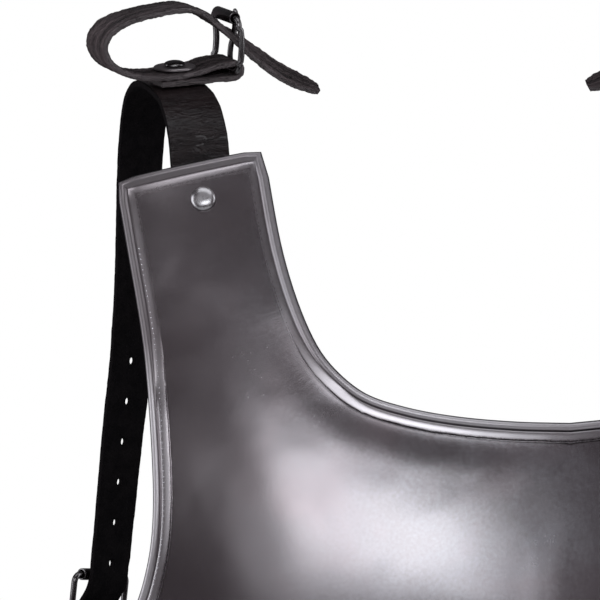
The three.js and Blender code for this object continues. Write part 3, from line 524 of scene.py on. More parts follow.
def rim_masks(tree, uv, inside, place):
    """Masks for the parts of the rim, from the distance inside the edge and the place on the plate."""
    place = add_node(tree, "ShaderNodeSeparateXYZ", {0: place})
    aside = maths(tree, "ABSOLUTE", place.outputs["X"])
    at_neck = ramp(tree, aside, 1.0, 0.25, 0.098, 0.112)
    below_tab = ramp(tree, place.outputs["Z"], 1.0, 0.0, -0.12, -0.095)
    cut = maths(tree, "ADD", inside, times(tree, noise_field(tree, uv, 900.0, 3.0, 0.7), 0.0007))
    seam = ramp(tree, cut, 1.0, 0.0, 0.0014, 0.0022)
    outside = ramp(tree, cut, 0.0, 1.0, 0.0008, 0.0012)
    groove_low = ramp(tree, inside, 0.0, 1.0, -0.0038, -0.0034)
    groove_high = ramp(tree, inside, 1.0, 0.0, -0.0031, -0.0027)
    on_roll = ramp(tree, inside, 1.0, 0.0, -0.0044, -0.0034)
    on_flange = ramp(tree, inside, 1.0, 0.0, -0.0002, 0.0012)
    # Painted highlight on the roll, and on the flange below the tabs, as a light near-white steel colour.
    bare_roll = times(tree, on_roll, maths(tree, "MAXIMUM", below_tab, 0.1))
    bare_flange = times(tree, on_flange, below_tab, 0.7)
    return {
        "aside": aside,
        # Painted shadow: a dark line along the flange's ragged cut edge, by the neck and below the tabs.
        "seam_shadow": times(tree, seam, outside, at_neck, below_tab),
        # Painted shade in the groove between the flange and the roll.
        "groove_shade": times(tree, groove_low, groove_high, at_neck, below_tab),
        "roll": on_roll,
        "flange": on_flange,
        "bare": maths(tree, "MAXIMUM", bare_roll, bare_flange),
        # Painted shade along the outermost edge of the roll.
        "outline_shade": ramp(tree, inside, 0.85, 0.0, -0.0063, -0.0058),
    }


def plate_colour(tree, fields, masks):
    """Warm clouds, painted shade towards the sides, a painted shadow beside the flange's cut edge, painted
    shade in the groove, a painted highlight on the rim and a painted dark line along its outermost edge.
    """
    # Painted shade: the plate is darker towards its sides, which turn away from the chest lamps.
    unevenly = maths(tree, "ADD", masks["aside"], times(tree, fields["cloud"], 0.06))
    side_shade = ramp(tree, unevenly, 0.0, 0.85, 0.08, 0.17)
    warmth = ramp(tree, noise_field(tree, fields["place"], 16.0, 3.0, 0.55, 0.6), 0.0, 0.5, 0.45, 0.68)
    colour = mix_colours(tree, warmth, fields["colour"], (0.46, 0.385, 0.405, 1))
    colour = mix_colours(tree, side_shade, colour, (0.25, 0.222, 0.23, 1))
    # Painted shadow beside the flange's cut edge and painted shade in the groove, both in one dark colour.
    for shade_key, share in (("seam_shadow", 0.85), ("groove_shade", 0.6)):
        colour = mix_colours(tree, times(tree, masks[shade_key], share), colour, (0.03, 0.026, 0.028, 1))
    # Where the painted shadow and painted shade lie, the painted highlight is taken away.
    seam_and_groove_shade = maths(tree, "ADD", masks["groove_shade"], masks["seam_shadow"])
    # Painted highlight: the rim is mixed towards a near-white colour.
    highlight_share = times(tree, maths(tree, "SUBTRACT", masks["bare"], seam_and_groove_shade, True), 0.7)
    colour = mix_colours(tree, highlight_share, colour, (0.82, 0.79, 0.81, 1))
    # Painted shade: a dark line along the outermost edge of the roll.
    return mix_colours(tree, masks["outline_shade"], colour, (0.05, 0.045, 0.05, 1))


def plate_steel():
    """Dark polished steel with brush marks along the border, a painted shadow in the seam of the flange, and
    painted shade and highlights on the rim.
    """
    material, tree, shader, fields = steel_fields(
        "plate_steel",
        colours=((0.37, 0.35, 0.36, 1), (0.46, 0.45, 0.475, 1)),
        rough=(0.21, 0.28),
        cloud_scale=20.0,
        scratch_scale=700.0,
    )
    uv = add_node(tree, "ShaderNodeUVMap", uv_map="edge_place").outputs[0]
    inside = add_node(tree, "ShaderNodeSeparateXYZ", {0: uv}).outputs["Y"]
    masks = rim_masks(tree, uv, inside, fields["place"])
    # Painted shade: the reflection is dimmed along the outermost edge of the roll.
    outline_reflection_shade = mix_colours(tree, masks["outline_shade"], (1, 1, 1, 1), (0.12, 0.12, 0.12, 1))
    duller = maths(tree, "ADD", times(tree, masks["roll"], 0.15), times(tree, masks["flange"], 0.06))
    strokes = add_node(tree, "ShaderNodeMapping", {"Vector": uv, "Scale": (1.0, 0.05, 1.0)}).outputs[0]
    beside = ramp(tree, inside, 1.0, 0.0, 0.006, 0.022)
    stroke = times(tree, noise_field(tree, strokes, 700.0, 3.0, 0.6), beside, 2.6)
    waves = bump(tree, noise_field(tree, fields["place"], 24.0, 1.5, 0.45, 0.3), 0.0007)
    relief = bump(tree, maths(tree, "ADD", fields["height"], stroke), 0.000006, waves)
    colour, roughness = plate_colour(tree, fields, masks), maths(tree, "ADD", fields["roughness"], duller)
    put = {"Base Color": colour, "Specular Tint": outline_reflection_shade, "Roughness": roughness, "Normal": relief}
    set_inputs(tree, shader, put)
    return material


plate_finish = plate_steel()
plate_points, plate_faces, edge_place = plate_mesh()
raised_plate = new_piece("raised_plate", plate_points, plate_faces, [plate_finish], 30)
corner_points = np.empty(len(raised_plate.data.loops), int)
raised_plate.data.loops.foreach_get("vertex_index", corner_points)
uv_map = raised_plate.data.uv_layers.new(name="edge_place")
uv_map.data.foreach_set("uv", (edge_place[corner_points] * MM).ravel())
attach(raised_plate, "root")
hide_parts("breastplate")


# Crimp marks
#
# A row of small punch marks along the flange beside each arm hole, where it was pressed down against the
# roll.

MARK_PITCH = 2.2
MARK_RADIUS = 0.36
ROWS_WITHOUT_MARKS = 8


def mark_line():
    """Places along the flange beside the wearer's right arm hole, and the directions out of it."""
    rows = np.arange(TOP_ROW - ROWS_WITHOUT_MARKS, NECK_ROW, -1)
    steps = len(rim_section)
    where = {place: k for k, place in enumerate(plate_outline())}
    ring = plate_points[2 * len(front) :].reshape(-1, steps, 3)[[where[r, -1, COLUMNS] for r in rows]]
    k = len(flange) - 2
    outward = unit(np.cross(ring[:, k + 1] - ring[:, k - 1], np.gradient(ring[:, k], axis=0)))
    outward *= np.sign((outward * (ring[:, k] - ring[:, k] * (0, 0, 1))).sum(1, keepdims=True))
    return ring[:, k], outward


def set_on_points(tree, points, shape, material, scale=(1.0, 1.0, 1.0)):
    """Copies of a shape on points, each turned to its point's direction, as one plain mesh."""
    way = add_node(tree, "GeometryNodeInputNamedAttribute", {"Name": "direction"}, data_type="FLOAT_VECTOR")
    values = {"Vector": way.outputs["Attribute"], "Factor": 1.0}
    turn = add_node(tree, "FunctionNodeAlignRotationToVector", values, axis="Z")
    values = {"Points": points, "Instance": shape, "Rotation": turn.outputs[0], "Scale": scale}
    placed = add_node(tree, "GeometryNodeInstanceOnPoints", values)
    plain = add_node(tree, "GeometryNodeRealizeInstances", {0: placed.outputs[0]})
    values = {"Geometry": plain.outputs[0], "Material": material}
    return add_node(tree, "GeometryNodeSetMaterial", values).outputs["Geometry"]


def mark_tree():
    """Geometry nodes that set small domed marks along a line, out of the face beneath."""
    tree, given, put = new_group(
        "set_marks",
        "GeometryNodeTree",
        {"Geometry": "Geometry", "Pitch": "Float", "Mark Radius": "Float", "Material": "Material"},
        {"Geometry": "Geometry"},
    )
    curve = add_node(tree, "GeometryNodeMeshToCurve", {"Mesh": given["Geometry"]})
    values = {"Curve": curve.outputs[0], "Length": given["Pitch"]}
    spaced = add_node(tree, "GeometryNodeResampleCurve", values, mode="LENGTH")
    values = {"Segments": 8, "Rings": 4, "Radius": given["Mark Radius"]}
    mark = add_node(tree, "GeometryNodeMeshUVSphere", values)
    flat = add_node(tree, "GeometryNodeTransform", {"Geometry": mark.outputs[0], "Scale": (1.0, 1.3, 0.45)})
    size = add_node(tree, "FunctionNodeRandomValue", {2: 0.5, 3: 1.1}, data_type="FLOAT").outputs[1]
    made = set_on_points(tree, spaced.outputs[0], flat.outputs[0], given["Material"], size)
    tree.links.new(made, put["Geometry"])
    return tree


def made_mesh(name, points, edges, directions, tree, inputs):
    """The plain mesh that a geometry node tree makes of points in millimetres, each with a direction."""
    mesh = bpy.data.meshes.new(name)
    mesh.from_pydata((np.asarray(points) * MM).tolist(), edges, [])
    way = mesh.attributes.new("direction", "FLOAT_VECTOR", "POINT")
    way.data.foreach_set("vector", np.asarray(directions).ravel())
    line = new_object(name, mesh)
    maker = line.modifiers.new(name, "NODES")
    maker.node_group = tree
    for item in tree.interface.items_tree:
        if item.in_out == "INPUT" and item.name in inputs:
            maker[item.identifier] = inputs[item.name]
    depsgraph = bpy.context.evaluated_depsgraph_get()
    made = bpy.data.meshes.new_from_object(line.evaluated_get(depsgraph))
    bpy.data.objects.remove(line)
    return made


mark_inputs = {
    "Pitch": MARK_PITCH * MM,
    "Mark Radius": MARK_RADIUS * MM,
    # The marks' steel is lighter than the plate's, a painted glint on each mark.
    "Material": steel(
        "mark_steel",
        colours=((0.55, 0.53, 0.55, 1), (0.66, 0.65, 0.68, 1)),
        rough=(0.22, 0.3),
        cloud_scale=300.0,
        scratch_scale=2600.0,
        relief=0.00001,
    ),
}
set_marks = mark_tree()
line_points, line_out = mark_line()
line_edges = [(i, i + 1) for i in range(len(line_points) - 1)]
for side, flip in (("right", (1, 1, 1)), ("left", (-1, 1, 1))):
    mesh = made_mesh("mark_line", line_points * flip, line_edges, line_out * flip, set_marks, mark_inputs)
    marks = new_object(f"crimp_marks_{side}", mesh)
    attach(marks, "root")


# Tab and side rivets
#
# Domed steel rivets, one through each shoulder tab and one through each side near the waist. Each is hammered
# over behind the strap that it holds.

HEAD_RADIUS = 5
HEAD_HEIGHT = 2.3
HEAD_EDGE = 0.25
HEAD_UNDERSIDE = 0.93
RIVET_SIDES = 40
SHANK_RADIUS = 2
TAIL_RADIUS = 3.4
TAIL_HEIGHT = 1.2
HAMMERED_DEPTH = 0.3
HAMMERED_SIZE = 5.5
GAP = 0.3
LEATHER = 2.5
RIVET_OUT = 130.5
RIVET_DROP = 42.4
FLANK_RIVET_DROP = 356
FLANK_RIVET_INSET = 17
TAB_CLEARANCE = 1.4
SIDE_CLEARANCE = 3
UNDER_TAB = SHEET + TAB_CLEARANCE + LEATHER / 2
UNDER_SIDE = SHEET + SIDE_CLEARANCE + LEATHER / 2


def at_drop(drop):
    return 1 - (drop - TAB_TOP_BELOW_SEAT) / PLATE_HEIGHT


def on_plate(angle, height):
    """A place of the outer face on the wearer's right side and the direction out of the face there."""
    step = 0.01
    places = [(-angle, height), (-angle + step, height), (-angle - step, height)]
    places += [(-angle, height + step), (-angle, height - step)]
    at = face_point(np.array([a for a, _ in places]), np.array([h for _, h in places]))
    plain = unit(np.cross(at[1] - at[2], at[3] - at[4]))
    at = at + flare_at(at)[:, None] * plain
    return at[0], unit(np.cross(at[1] - at[2], at[3] - at[4]))


def behind_plate(angle, height, under):
    at, normal = on_plate(angle, height)
    return at - normal * under, normal


def frame_along(direction):
    """Two directions square to a given one and to each other."""
    upright = (0.0, 0.0, 1.0) if abs(direction[2]) < 0.9 else (1.0, 0.0, 0.0)
    aside = unit(np.cross(direction, upright))
    return aside, np.cross(direction, aside)


def turned(profile, sides, at, direction):
    """A profile of radius and height turned round a direction: points, their numbers and the next numbers."""
    aside, other = frame_along(direction)
    turn = np.arange(sides) * 2 * math.pi / sides
    round_about = np.cos(turn)[:, None] * aside + np.sin(turn)[:, None] * other
    profile = np.asarray(profile, float)
    points = at + profile[:, None, :1] * round_about[None] + profile[:, None, 1:] * direction
    number = np.arange(len(profile) * sides).reshape(len(profile), sides)
    after = np.roll(number, -1, axis=1)
    return points.reshape(-1, 3), number, after


def ring_mesh(profile, sides, at, direction):
    """A ring: a closed profile turned round a direction."""
    points, number, after = turned(profile, sides, at, direction)
    return points, as_quads(number, after, np.roll(after, -1, axis=0), np.roll(number, -1, axis=0)).tolist()


def rivet_mesh(at, direction, depth, radius, height):
    """A rivet with its domed head on a face and its hammered tail a depth behind it."""
    dome = [on_circle(turn) for turn in range(0, 90, 9)]
    head = [(radius * c**0.85, GAP + HEAD_EDGE + (height - HEAD_EDGE) * s) for c, s in dome]
    tail = [(TAIL_RADIUS * c**0.6, -depth - TAIL_HEIGHT * s) for c, s in dome[::-1]]
    shank = [(SHANK_RADIUS, -depth), (SHANK_RADIUS, GAP), (radius * HEAD_UNDERSIDE, GAP)]
    points, number, after = turned(tail + shank + head, RIVET_SIDES, at, direction)
    quads = as_quads(number[:-1], after[:-1], after[1:], number[1:]).tolist()
    poles = [at - direction * (depth + TAIL_HEIGHT), at + direction * (GAP + height)]
    low, high = len(points), len(points) + 1
    caps = [[low, b, a] for a, b in zip(number[0], after[0])]
    caps += [[high, a, b] for a, b in zip(number[-1], after[-1])]
    return np.concatenate([points, poles]), quads + caps


def set_places(piece, places):
    """Keeps each point's place along, across and through a strap, in metres, for its leather."""
    kept = piece.data.attributes.new("strap_place", "FLOAT_VECTOR", "POINT")
    kept.data.foreach_set("vector", (np.asarray(places) * MM).ravel())


def new_pair(name, points, faces, materials, nodes, creased_from=38, face_material=None, places=None):
    """The wearer's right piece and its mirror image, each standing for its own solids."""
    points = np.asarray(points)
    for side, shown, turn in (("right", points, 1), ("left", points * (-1, 1, 1), -1)):
        piece = new_piece(f"{name}_{side}", shown, [face[::turn] for face in faces], materials, creased_from)
        if face_material is not None:
            piece.data.polygons.foreach_set("material_index", face_material)
        if places is not None:
            set_places(piece, places)
        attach(piece, "root")
        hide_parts(*[f"{node}_{side}" for node in nodes])


def hammered(points, at):
    """Points moved a little out of a round shape, as hand work leaves them."""
    shift = [noise.noise(Vector(point) / HAMMERED_SIZE) for point in points - at]
    return points + unit(points - at) * np.array(shift)[:, None] * HAMMERED_DEPTH


def new_rivet(name, node, angle, height, depth):
    """The pair of rivets through the plate at an angle and a share of its height."""
    at, out = on_plate(angle, height)
    points, faces = rivet_mesh(at, out, depth, HEAD_RADIUS, HEAD_HEIGHT)
    new_pair(name, hammered(points, at), faces, [rivet_steel], [node])


rivet_steel = steel(
    "rivet_steel",
    colours=((0.52, 0.51, 0.52, 1), (0.74, 0.72, 0.73, 1)),
    rough=(0.23, 0.34),
    cloud_scale=180.0,
    scratch_scale=2600.0,
    relief=0.00002,
)
rivet_height = at_drop(RIVET_DROP)
rivet_angle = angle_at(RIVET_OUT, rivet_height)
new_rivet("tab_rivet", "shoulder_rivet", rivet_angle, rivet_height, UNDER_TAB + LEATHER / 2 + 4 * GAP)
flank_rivet_angle = side_angle - FLANK_RIVET_INSET / PLATE_HALF_WIDTH
flank_depth = UNDER_SIDE + LEATHER / 2 + 2 * GAP
new_rivet("side_rivet", "flank_rivet", flank_rivet_angle, at_drop(FLANK_RIVET_DROP), flank_depth)


# Side buckles
#
# Roller buckles of blackened steel wire, one beside each arm hole. The frame is one bent wire, a short tube
# turns on its upper bar, and the tongue hangs on its lower bar.

WIRE_RADIUS = 1.5
SEEN_WIRE_RADIUS = 1.35
ROUNDED_END = (0.45, 0.8, 0.95)
TONGUE_RADIUS = 1.2
ROLLER_RADIUS = 2.6
ROLLER_BORE = WIRE_RADIUS + GAP
BUCKLE_LENGTH = 22
BUCKLE_SIDE = (4.5, 17.5)
SIDE_BUCKLE_WIDTH = 35
BUCKLE_CORNER = 3.5
BACK_REACH = 84
BUCKLE_DROP = 238
SIDE_TONGUE = [(0, -3), (-2.1, -2.1), (-3, 0), (-2.1, 2.1), (0, 3.1), (10, 3.7), (22, 4.3), (24, 4)]


def width_at(turn, roll=0.0):
    """The direction across a strap, turned round the body and rolled, in degrees."""
    turn, roll = math.radians(turn), math.radians(roll)
    return unit(np.array([math.cos(turn), math.sin(turn), math.sin(roll)]))


def square_to(vector, direction):
    return unit(vector - direction * (vector @ direction))


def in_place(place, x, y, z):
    return place["at"] + place["across"] * x + place["along"] * y + place["out"] * z


def xyz(line):
    return np.stack([line["x"], line["y"], line["z"]], 1)


def smooth_line(points, pitch):
    """Evenly spaced points on a smooth curve through the given ones."""
    points = np.asarray(points, float)
    table = {"x": points[:, 0], "y": points[:, 1], "z": points[:, 2]}
    return xyz(evenly(table, ["x", "y", "z"], max(8, round(run_length(points)[-1] / pitch))))


def wire_mesh(line, radius, sides, closed):
    """A round wire along a line, closed into a ring or with rounded ends."""
    line = np.asarray(line, float)
    if closed:
        tangent = unit(np.roll(line, -1, axis=0) - np.roll(line, 1, axis=0))
    else:
        tangent = unit(np.gradient(line, axis=0))
    across = frame_along(tangent[0])[0]
    turn = np.arange(sides) * 2 * math.pi / sides
    rings = []
    for i, (at, t) in enumerate(zip(line, tangent)):
        across = square_to(across, t)
        other = np.cross(t, across)
        left = min(i, len(line) - 1 - i)
        size = radius * (1 if closed or left >= len(ROUNDED_END) else ROUNDED_END[left])
        rings.append(at + size * (np.cos(turn)[:, None] * across + np.sin(turn)[:, None] * other))
    number = np.arange(len(line) * sides).reshape(-1, sides)
    if closed:
        starts, following = number, np.roll(number, -1, axis=0)
    else:
        starts, following = number[:-1], number[1:]
    faces = as_quads(starts, np.roll(starts, -1, axis=1), np.roll(following, -1, axis=1), following).tolist()
    if not closed:
        faces += [number[0][::-1].tolist(), number[-1].tolist()]
    return np.concatenate(rings), faces


def buckle_lines(place, half_width, tongue, bulge):
    """A frame's closed line and its tongue's line, from the middle of its lower bar. Its sides may bulge."""
    loop = []
    for side, y, start in ((1, 0, -90), (1, BUCKLE_LENGTH, 0), (-1, BUCKLE_LENGTH, 90), (-1, 0, 180)):
        middle_x = side * (half_width - BUCKLE_CORNER)
        middle_y = BUCKLE_CORNER if y == 0 else BUCKLE_LENGTH - BUCKLE_CORNER
        for step in range(0, 91, 10):
            over, up = on_circle(start + step)
            loop.append(in_place(place, middle_x + BUCKLE_CORNER * over, middle_y + BUCKLE_CORNER * up, 0))
        if (side > 0) == (y == 0):
            for up in np.linspace(*BUCKLE_SIDE, 8)[::side]:
                bend = bulge * math.sin(math.pi * up / BUCKLE_LENGTH)
                loop.append(in_place(place, side * half_width, up, bend))
    return np.array(loop), np.array([in_place(place, 0, y, z) for y, z in tongue])


def tube_mesh(place, length):
    """The roller: a short tube round the upper bar, with its edges turned in a little."""
    half = length / 2
    wall = [(ROLLER_BORE, -half + 0.3), (ROLLER_BORE + 0.2, -half), (ROLLER_RADIUS - 0.35, -half)]
    wall += [(ROLLER_RADIUS - 0.1, -half + 0.12), (ROLLER_RADIUS, -half + 0.45)]
    profile = wall + [(r, -y) for r, y in wall[::-1]]
    return ring_mesh(profile, 32, in_place(place, 0, BUCKLE_LENGTH, 0), place["across"])


def new_buckle(name, node, place, width, tongue, bulge=0.0):
    """The pair of buckles at a place: frame, roller and tongue."""
    frame_line, tongue_line = buckle_lines(place, width / 2, tongue, bulge)
    made = {
        "frame": wire_mesh(frame_line, SEEN_WIRE_RADIUS, 16, True),
        "roller": tube_mesh(place, width - 2 * BUCKLE_CORNER - 1),
        "tongue": wire_mesh(smooth_line(tongue_line, 0.7), TONGUE_RADIUS, 12, False),
    }
    for part, (points, faces) in made.items():
        new_pair(f"{name}_{part}", points, faces, [black_steel], [f"{node}_{part}"])


black_steel = steel(
    "black_steel",
    colours=((0.14, 0.133, 0.136, 1), (0.27, 0.26, 0.26, 1)),
    rough=(0.16, 0.32),
    cloud_scale=120.0,
    scratch_scale=2200.0,
    relief=0.00002,
)
side_buckle = {"at": np.array([-1.152 * RIVET_OUT, 0.885 * BACK_REACH, -BUCKLE_DROP])}
side_buckle["along"] = unit(np.array([0.13, 0.09, 0.99]))
side_buckle["across"] = square_to(width_at(38), side_buckle["along"])
side_buckle["out"] = np.cross(side_buckle["along"], side_buckle["across"])
new_buckle("side_buckle", "flank_buckle", side_buckle, SIDE_BUCKLE_WIDTH, SIDE_TONGUE)


# Flank straps
#
# A short black leather strap holds each side buckle. It is folded round the buckle's lower bar, runs forwards
# round the flank and is riveted inside the plate's side.

STRAP_WIDTH = 24
STRAP_PITCH = 1.3
LAYER = (LEATHER + GAP) / 2
FOLD_BULGE = 0.9
FOLD_RADIUS = WIRE_RADIUS + GAP + LEATHER / 2
FLANK_PATH = {
    "out": [1.152, 1.19, 1.255, 1.3],
    "back": [0.885, 0.78, 0.54, 0.24],
    "drop": [1, 1.1, 1.24, 1.38],
    "turn": [38, 42, 55, 72],
}
FLANK_END_INSET = 28
FLANK_ENDS = ((FLANK_RIVET_INSET, 0, 0), (FLANK_END_INSET, 13, 2.4))
FLANK_STEPS = 24
SPREAD_STEPS = 6


def path_table(path):
    """A path's columns as x, y and z, with its other columns kept."""
    made = {name: list(column) for name, column in path.items() if name not in ("out", "back", "drop")}
    made["x"] = [-out * RIVET_OUT for out in path["out"]]
    made["y"] = [back * BACK_REACH for back in path["back"]]
    made["z"] = [-drop * BUCKLE_DROP for drop in path["drop"]]
    return made


flank_table = path_table(FLANK_PATH)
for inset, drop, further in FLANK_ENDS:
    height = at_drop(FLANK_RIVET_DROP + drop)
    at, _ = behind_plate(side_angle - inset / PLATE_HALF_WIDTH, height, UNDER_SIDE + further)
    for name, value in zip(("x", "y", "z", "turn"), (*at, 90)):
        flank_table[name].append(value)
flank_line = evenly(flank_table, ["x", "y", "z"], FLANK_STEPS)


def station(at, across, half=STRAP_WIDTH / 2):
    return {"at": at, "across": across, "half": half}


def flank_station(i, offset, half=STRAP_WIDTH / 2):
    """A place on the flank strap's line, moved out of the strap's middle by an offset."""
    line = xyz(flank_line)
    tangent = unit(line[min(i + 1, len(line) - 1)] - line[max(i - 1, 0)])
    across = square_to(width_at(flank_line["turn"][i]), tangent)
    return station(line[i] + np.cross(across, tangent) * offset, across, half)


def fold_round(middle, aside, out, turns):
    """Places on the fold of a strap round a buckle's bar."""
    return [middle + FOLD_RADIUS * (aside * c + out * s) for c, s in map(on_circle, turns)]


def flank_stations():
    """From the folded end, round the buckle's lower bar and along to the rivet."""
    stations = [flank_station(i, -LAYER) for i in (4, 3, 2)] + [flank_station(1, -LAYER - FOLD_BULGE)]
    fold = fold_round(side_buckle["at"], side_buckle["along"], side_buckle["out"], range(-90, 91, 30))
    stations += [station(at, side_buckle["across"]) for at in fold]
    stations.append(flank_station(1, LAYER + FOLD_BULGE))
    for i in range(2, FLANK_STEPS + 1):
        stations.append(flank_station(i, LAYER * min(1, max(0, 2 - i / SPREAD_STEPS))))
    return stations


def strap_section(half, thickness, pitch, rounding):
    """Once round a strap's section, over its back face and its front, and 1 for each face on the front."""
    low = thickness / 2
    flat = np.linspace(-(half - rounding), half - rounding, max(4, round(2 * half / pitch)))
    turn = [(rounding * s, rounding * c) for c, s in map(on_circle, (22, 45, 68))]
    right = [(half - rounding + s, low - rounding + c) for s, c in turn]
    upper = [(x, low) for x in flat]
    middle = [(half, low - rounding), (half, 0), (half, -low + rounding)]
    edge = right + middle + [(x, -y) for x, y in right[::-1]]
    lower = [(x, -low) for x in flat[::-1]]
    left = [(-x, y) for x, y in edge[::-1]]
    shape = upper + edge + lower + left
    first = len(upper) + len(edge) - 1
    return np.array(shape), [int(first <= i < first + len(lower)) for i in range(len(shape))]


def strap_mesh(stations, pitch, rounding=0.55, rough=0.0, rough_scale=2.0, edge_wave=0.15, across_pitch=None):
    """A leather strap through a run of stations: its points and faces, 1 for each face on the grain side, and
    each point's place along, across and through the leather."""
    columns = np.array([[*s["at"], *s["across"], s["half"]] for s in stations])
    names = ["x", "y", "z", "ax", "ay", "az", "half"]
    table = {name: columns[:, k] for k, name in enumerate(names)}
    line = evenly(table, ["x", "y", "z"], round(run_length(columns[:, :3])[-1] / pitch))
    at = xyz(line)
    tangent = unit(np.gradient(at, axis=0))
    across = np.stack([line["ax"], line["ay"], line["az"]], 1)
    across = unit(across - tangent * (across * tangent).sum(1, keepdims=True))
    thick = np.cross(tangent, across)
    widest = columns[:, 6].max()
    shape, grain = strap_section(widest, LEATHER, across_pitch or pitch, rounding)
    run = run_length(at)
    rings = []
    for i in range(len(at)):
        share = line["half"][i] / widest
        wave = edge_wave * noise.noise(Vector((run[i] / 9.0, 3.0, 0.5)))
        width = shape[:, :1] * share + np.sign(shape[:, :1]) * wave * (np.abs(shape[:, :1]) > widest - 1)
        rings.append(at[i] + across[i] * width + thick[i] * shape[:, 1:])
    count = len(shape)
    points = np.concatenate(rings)
    if rough:
        outward = unit(np.stack([shape[:, 0] * 0.25, shape[:, 1] * 4], 1))
        ways = [outward[:, :1] * across[i] + outward[:, 1:] * thick[i] for i in range(len(at))]
        away = np.concatenate(ways)
        shift = [noise.fractal(Vector(p) / rough_scale, 0.6, 2.0, 4) for p in points]
        points = points + away * np.array(shift)[:, None] * rough
    number = np.arange(len(points)).reshape(-1, count)
    after = np.roll(number, -1, axis=1)
    quads = as_quads(number[1:], after[1:], after[:-1], number[:-1]).tolist()
    faces = quads + [number[0].tolist(), number[-1][::-1].tolist()]
    places = np.column_stack([np.repeat(run, count), np.tile(shape, (len(at), 1))])
    return points, faces, grain * (len(at) - 1) + [0, 0], places


def leather_surface():
    """Pebbled grain and soft creases: heights for the grain and the creases, and a mottled tone."""
    group, given, put = new_group(
        "leather_surface",
        "ShaderNodeTree",
        {"Vector": "Vector", "Grain Scale": 900.0, "Crease Scale": 90.0},
        {"Grain": "Float", "Crease": "Float", "Tone": "Float"},
    )
    vector, scale = given["Vector"], given["Crease Scale"]
    values = {"Vector": vector, "Scale": given["Grain Scale"]}
    pebbles = add_node(group, "ShaderNodeTexVoronoi", values, feature="SMOOTH_F1").outputs["Distance"]
    fine = noise_field(group, vector, given["Grain Scale"], 3.0, 0.6)
    grain = maths(group, "ADD", times(group, pebbles, 0.6), fine)
    crease = noise_field(group, vector, scale, 5.0, 0.55, 1.2)
    folded = ramp(group, maths(group, "ABSOLUTE", maths(group, "SUBTRACT", crease, 0.5)), 0.0, 1.0, 0.0, 0.16)
    tone = noise_field(group, vector, times(group, scale, 0.5), 4.0, 0.6)
    for name, field in (("Grain", grain), ("Crease", folded), ("Tone", tone)):
        group.links.new(field, put[name])
    return group


leather_relief = leather_surface()


def leather(name, colours, rough, scales, heights, stretch, specular, sheen=0.0, smooth_part=None):
    """A leather with two colours and one for cut edges, and scales and heights for its grain and creases. The
    creases are faint in the part that is bent taut."""
    material, tree, shader = new_material(name)
    place = add_node(tree, "ShaderNodeAttribute", attribute_name="strap_place").outputs["Vector"]
    apart = add_node(tree, "ShaderNodeSeparateXYZ", {0: place}).outputs
    stretched = add_node(tree, "ShaderNodeMapping", {"Vector": place, "Scale": stretch}).outputs[0]
    values = {"Vector": stretched, "Grain Scale": scales[0], "Crease Scale": scales[1]}
    surface = add_node(tree, "ShaderNodeGroup", values, node_tree=leather_relief).outputs
    tone = ramp(tree, surface["Tone"], 0.0, 1.0, 0.35, 0.65)
    cut_edge = ramp(tree, maths(tree, "ABSOLUTE", apart["Z"]), 1.0, 0.0, 0.0008, 0.00115)
    colour = mix_colours(tree, cut_edge, mix_colours(tree, tone, *colours[:2]), colours[2])
    crease = surface["Crease"]
    if smooth_part:
        before = ramp(tree, apart["X"], 1.0, 0.05, smooth_part[0] - 0.022, smooth_part[0])
        after = ramp(tree, apart["X"], 0.1, 1.0, smooth_part[1], smooth_part[1] + 0.04)
        crease = times(tree, crease, maths(tree, "MAXIMUM", before, after))
    relief = bump(tree, surface["Grain"], heights[0], bump(tree, crease, heights[1]))
    roughness = ramp(tree, surface["Grain"], *rough, 0.3, 1.1)
    set_inputs(tree, shader, {"Base Color": colour, "Roughness": roughness, "Normal": relief})
    set_inputs(tree, shader, {"Specular IOR Level": specular, "Sheen Weight": sheen})
    return material


strap_grain = leather(
    "strap_grain",
    colours=((0.013, 0.0085, 0.009, 1), (0.027, 0.018, 0.0185, 1), (0.006, 0.005, 0.0055, 1)),
    rough=(0.16, 0.26),
    scales=(900.0, 300.0),
    heights=(0.00001, 0.0011),
    stretch=(1.0, 0.45, 0.45),
    specular=0.5,
    smooth_part=(0.064, 0.09),
)
strap_flesh = leather(
    "strap_flesh",
    colours=((0.008, 0.007, 0.008, 1), (0.014, 0.012, 0.013, 1), (0.012, 0.010, 0.011, 1)),
    rough=(0.85, 1.0),
    scales=(1600.0, 300.0),
    heights=(0.0002, 0.0003),
    stretch=(1, 1, 1),
    specular=0.08,
)
strap_materials = [strap_flesh, strap_grain]
points, faces, grain, places = strap_mesh(flank_stations(), STRAP_PITCH)
new_pair("flank_leather", points, faces, strap_materials, ["flank_strap"], 38, grain, places)


# Shoulder straps
#
# A long black leather strap is riveted inside each tab, arches over the shoulder and runs down the back to
# its side buckle. Its smooth grain side is outermost, and it has six punched holes above the one in use.

STRAP_HOLE_RADIUS = 1.9
STRAP_HOLE_PITCH = 17.6
STRAP_HOLES = 6
SHOULDER_PATH = {
    "out": [0.983, 0.972, 0.966, 0.965, 0.966, 0.967, 0.970, 0.973, 0.976, 0.979, 0.988, 1.010, 1.046, 1.096],
    "back": [-0.411, -0.274, -0.060, 0.143, 0.357, 0.536, 0.714, 0.869, 0.964, 1, 1, 0.988, 0.952, 0.893],
    "drop": [0.1189, 0.0702, 0.0252, 0.0071, -0.0034, -0.0053, 0.0088, 0.0487, 0.1113, 0.1899]
    + [0.3429, 0.5025, 0.6454, 0.8622],
    "turn": [-16, -12, -4, 4, 9, 14, 19, 23, 26, 27, 28, 30, 33, 37],
    "roll": [0, 1, 3, 4, 4, 4, 3, 2, 1, 0, 0, 0, 0, 0],
}
SHOULDER_STEPS = 34
BACK_FROM = 21
THROUGH_BUCKLE = ((27, -4.3), (21, -4.4), (16, -3.2), (9.5, 0.5), (4.7, 5.2), (0, 6.5), (-5, 6.4))
OVER_FLANK_STRAP = ((3, 1), (5, 1), (7, 1), (8, 0.94), (9, 0.6))
TONGUE_HOLE = (7, 3)
TONGUE_HOLE_LIFT = 2.5


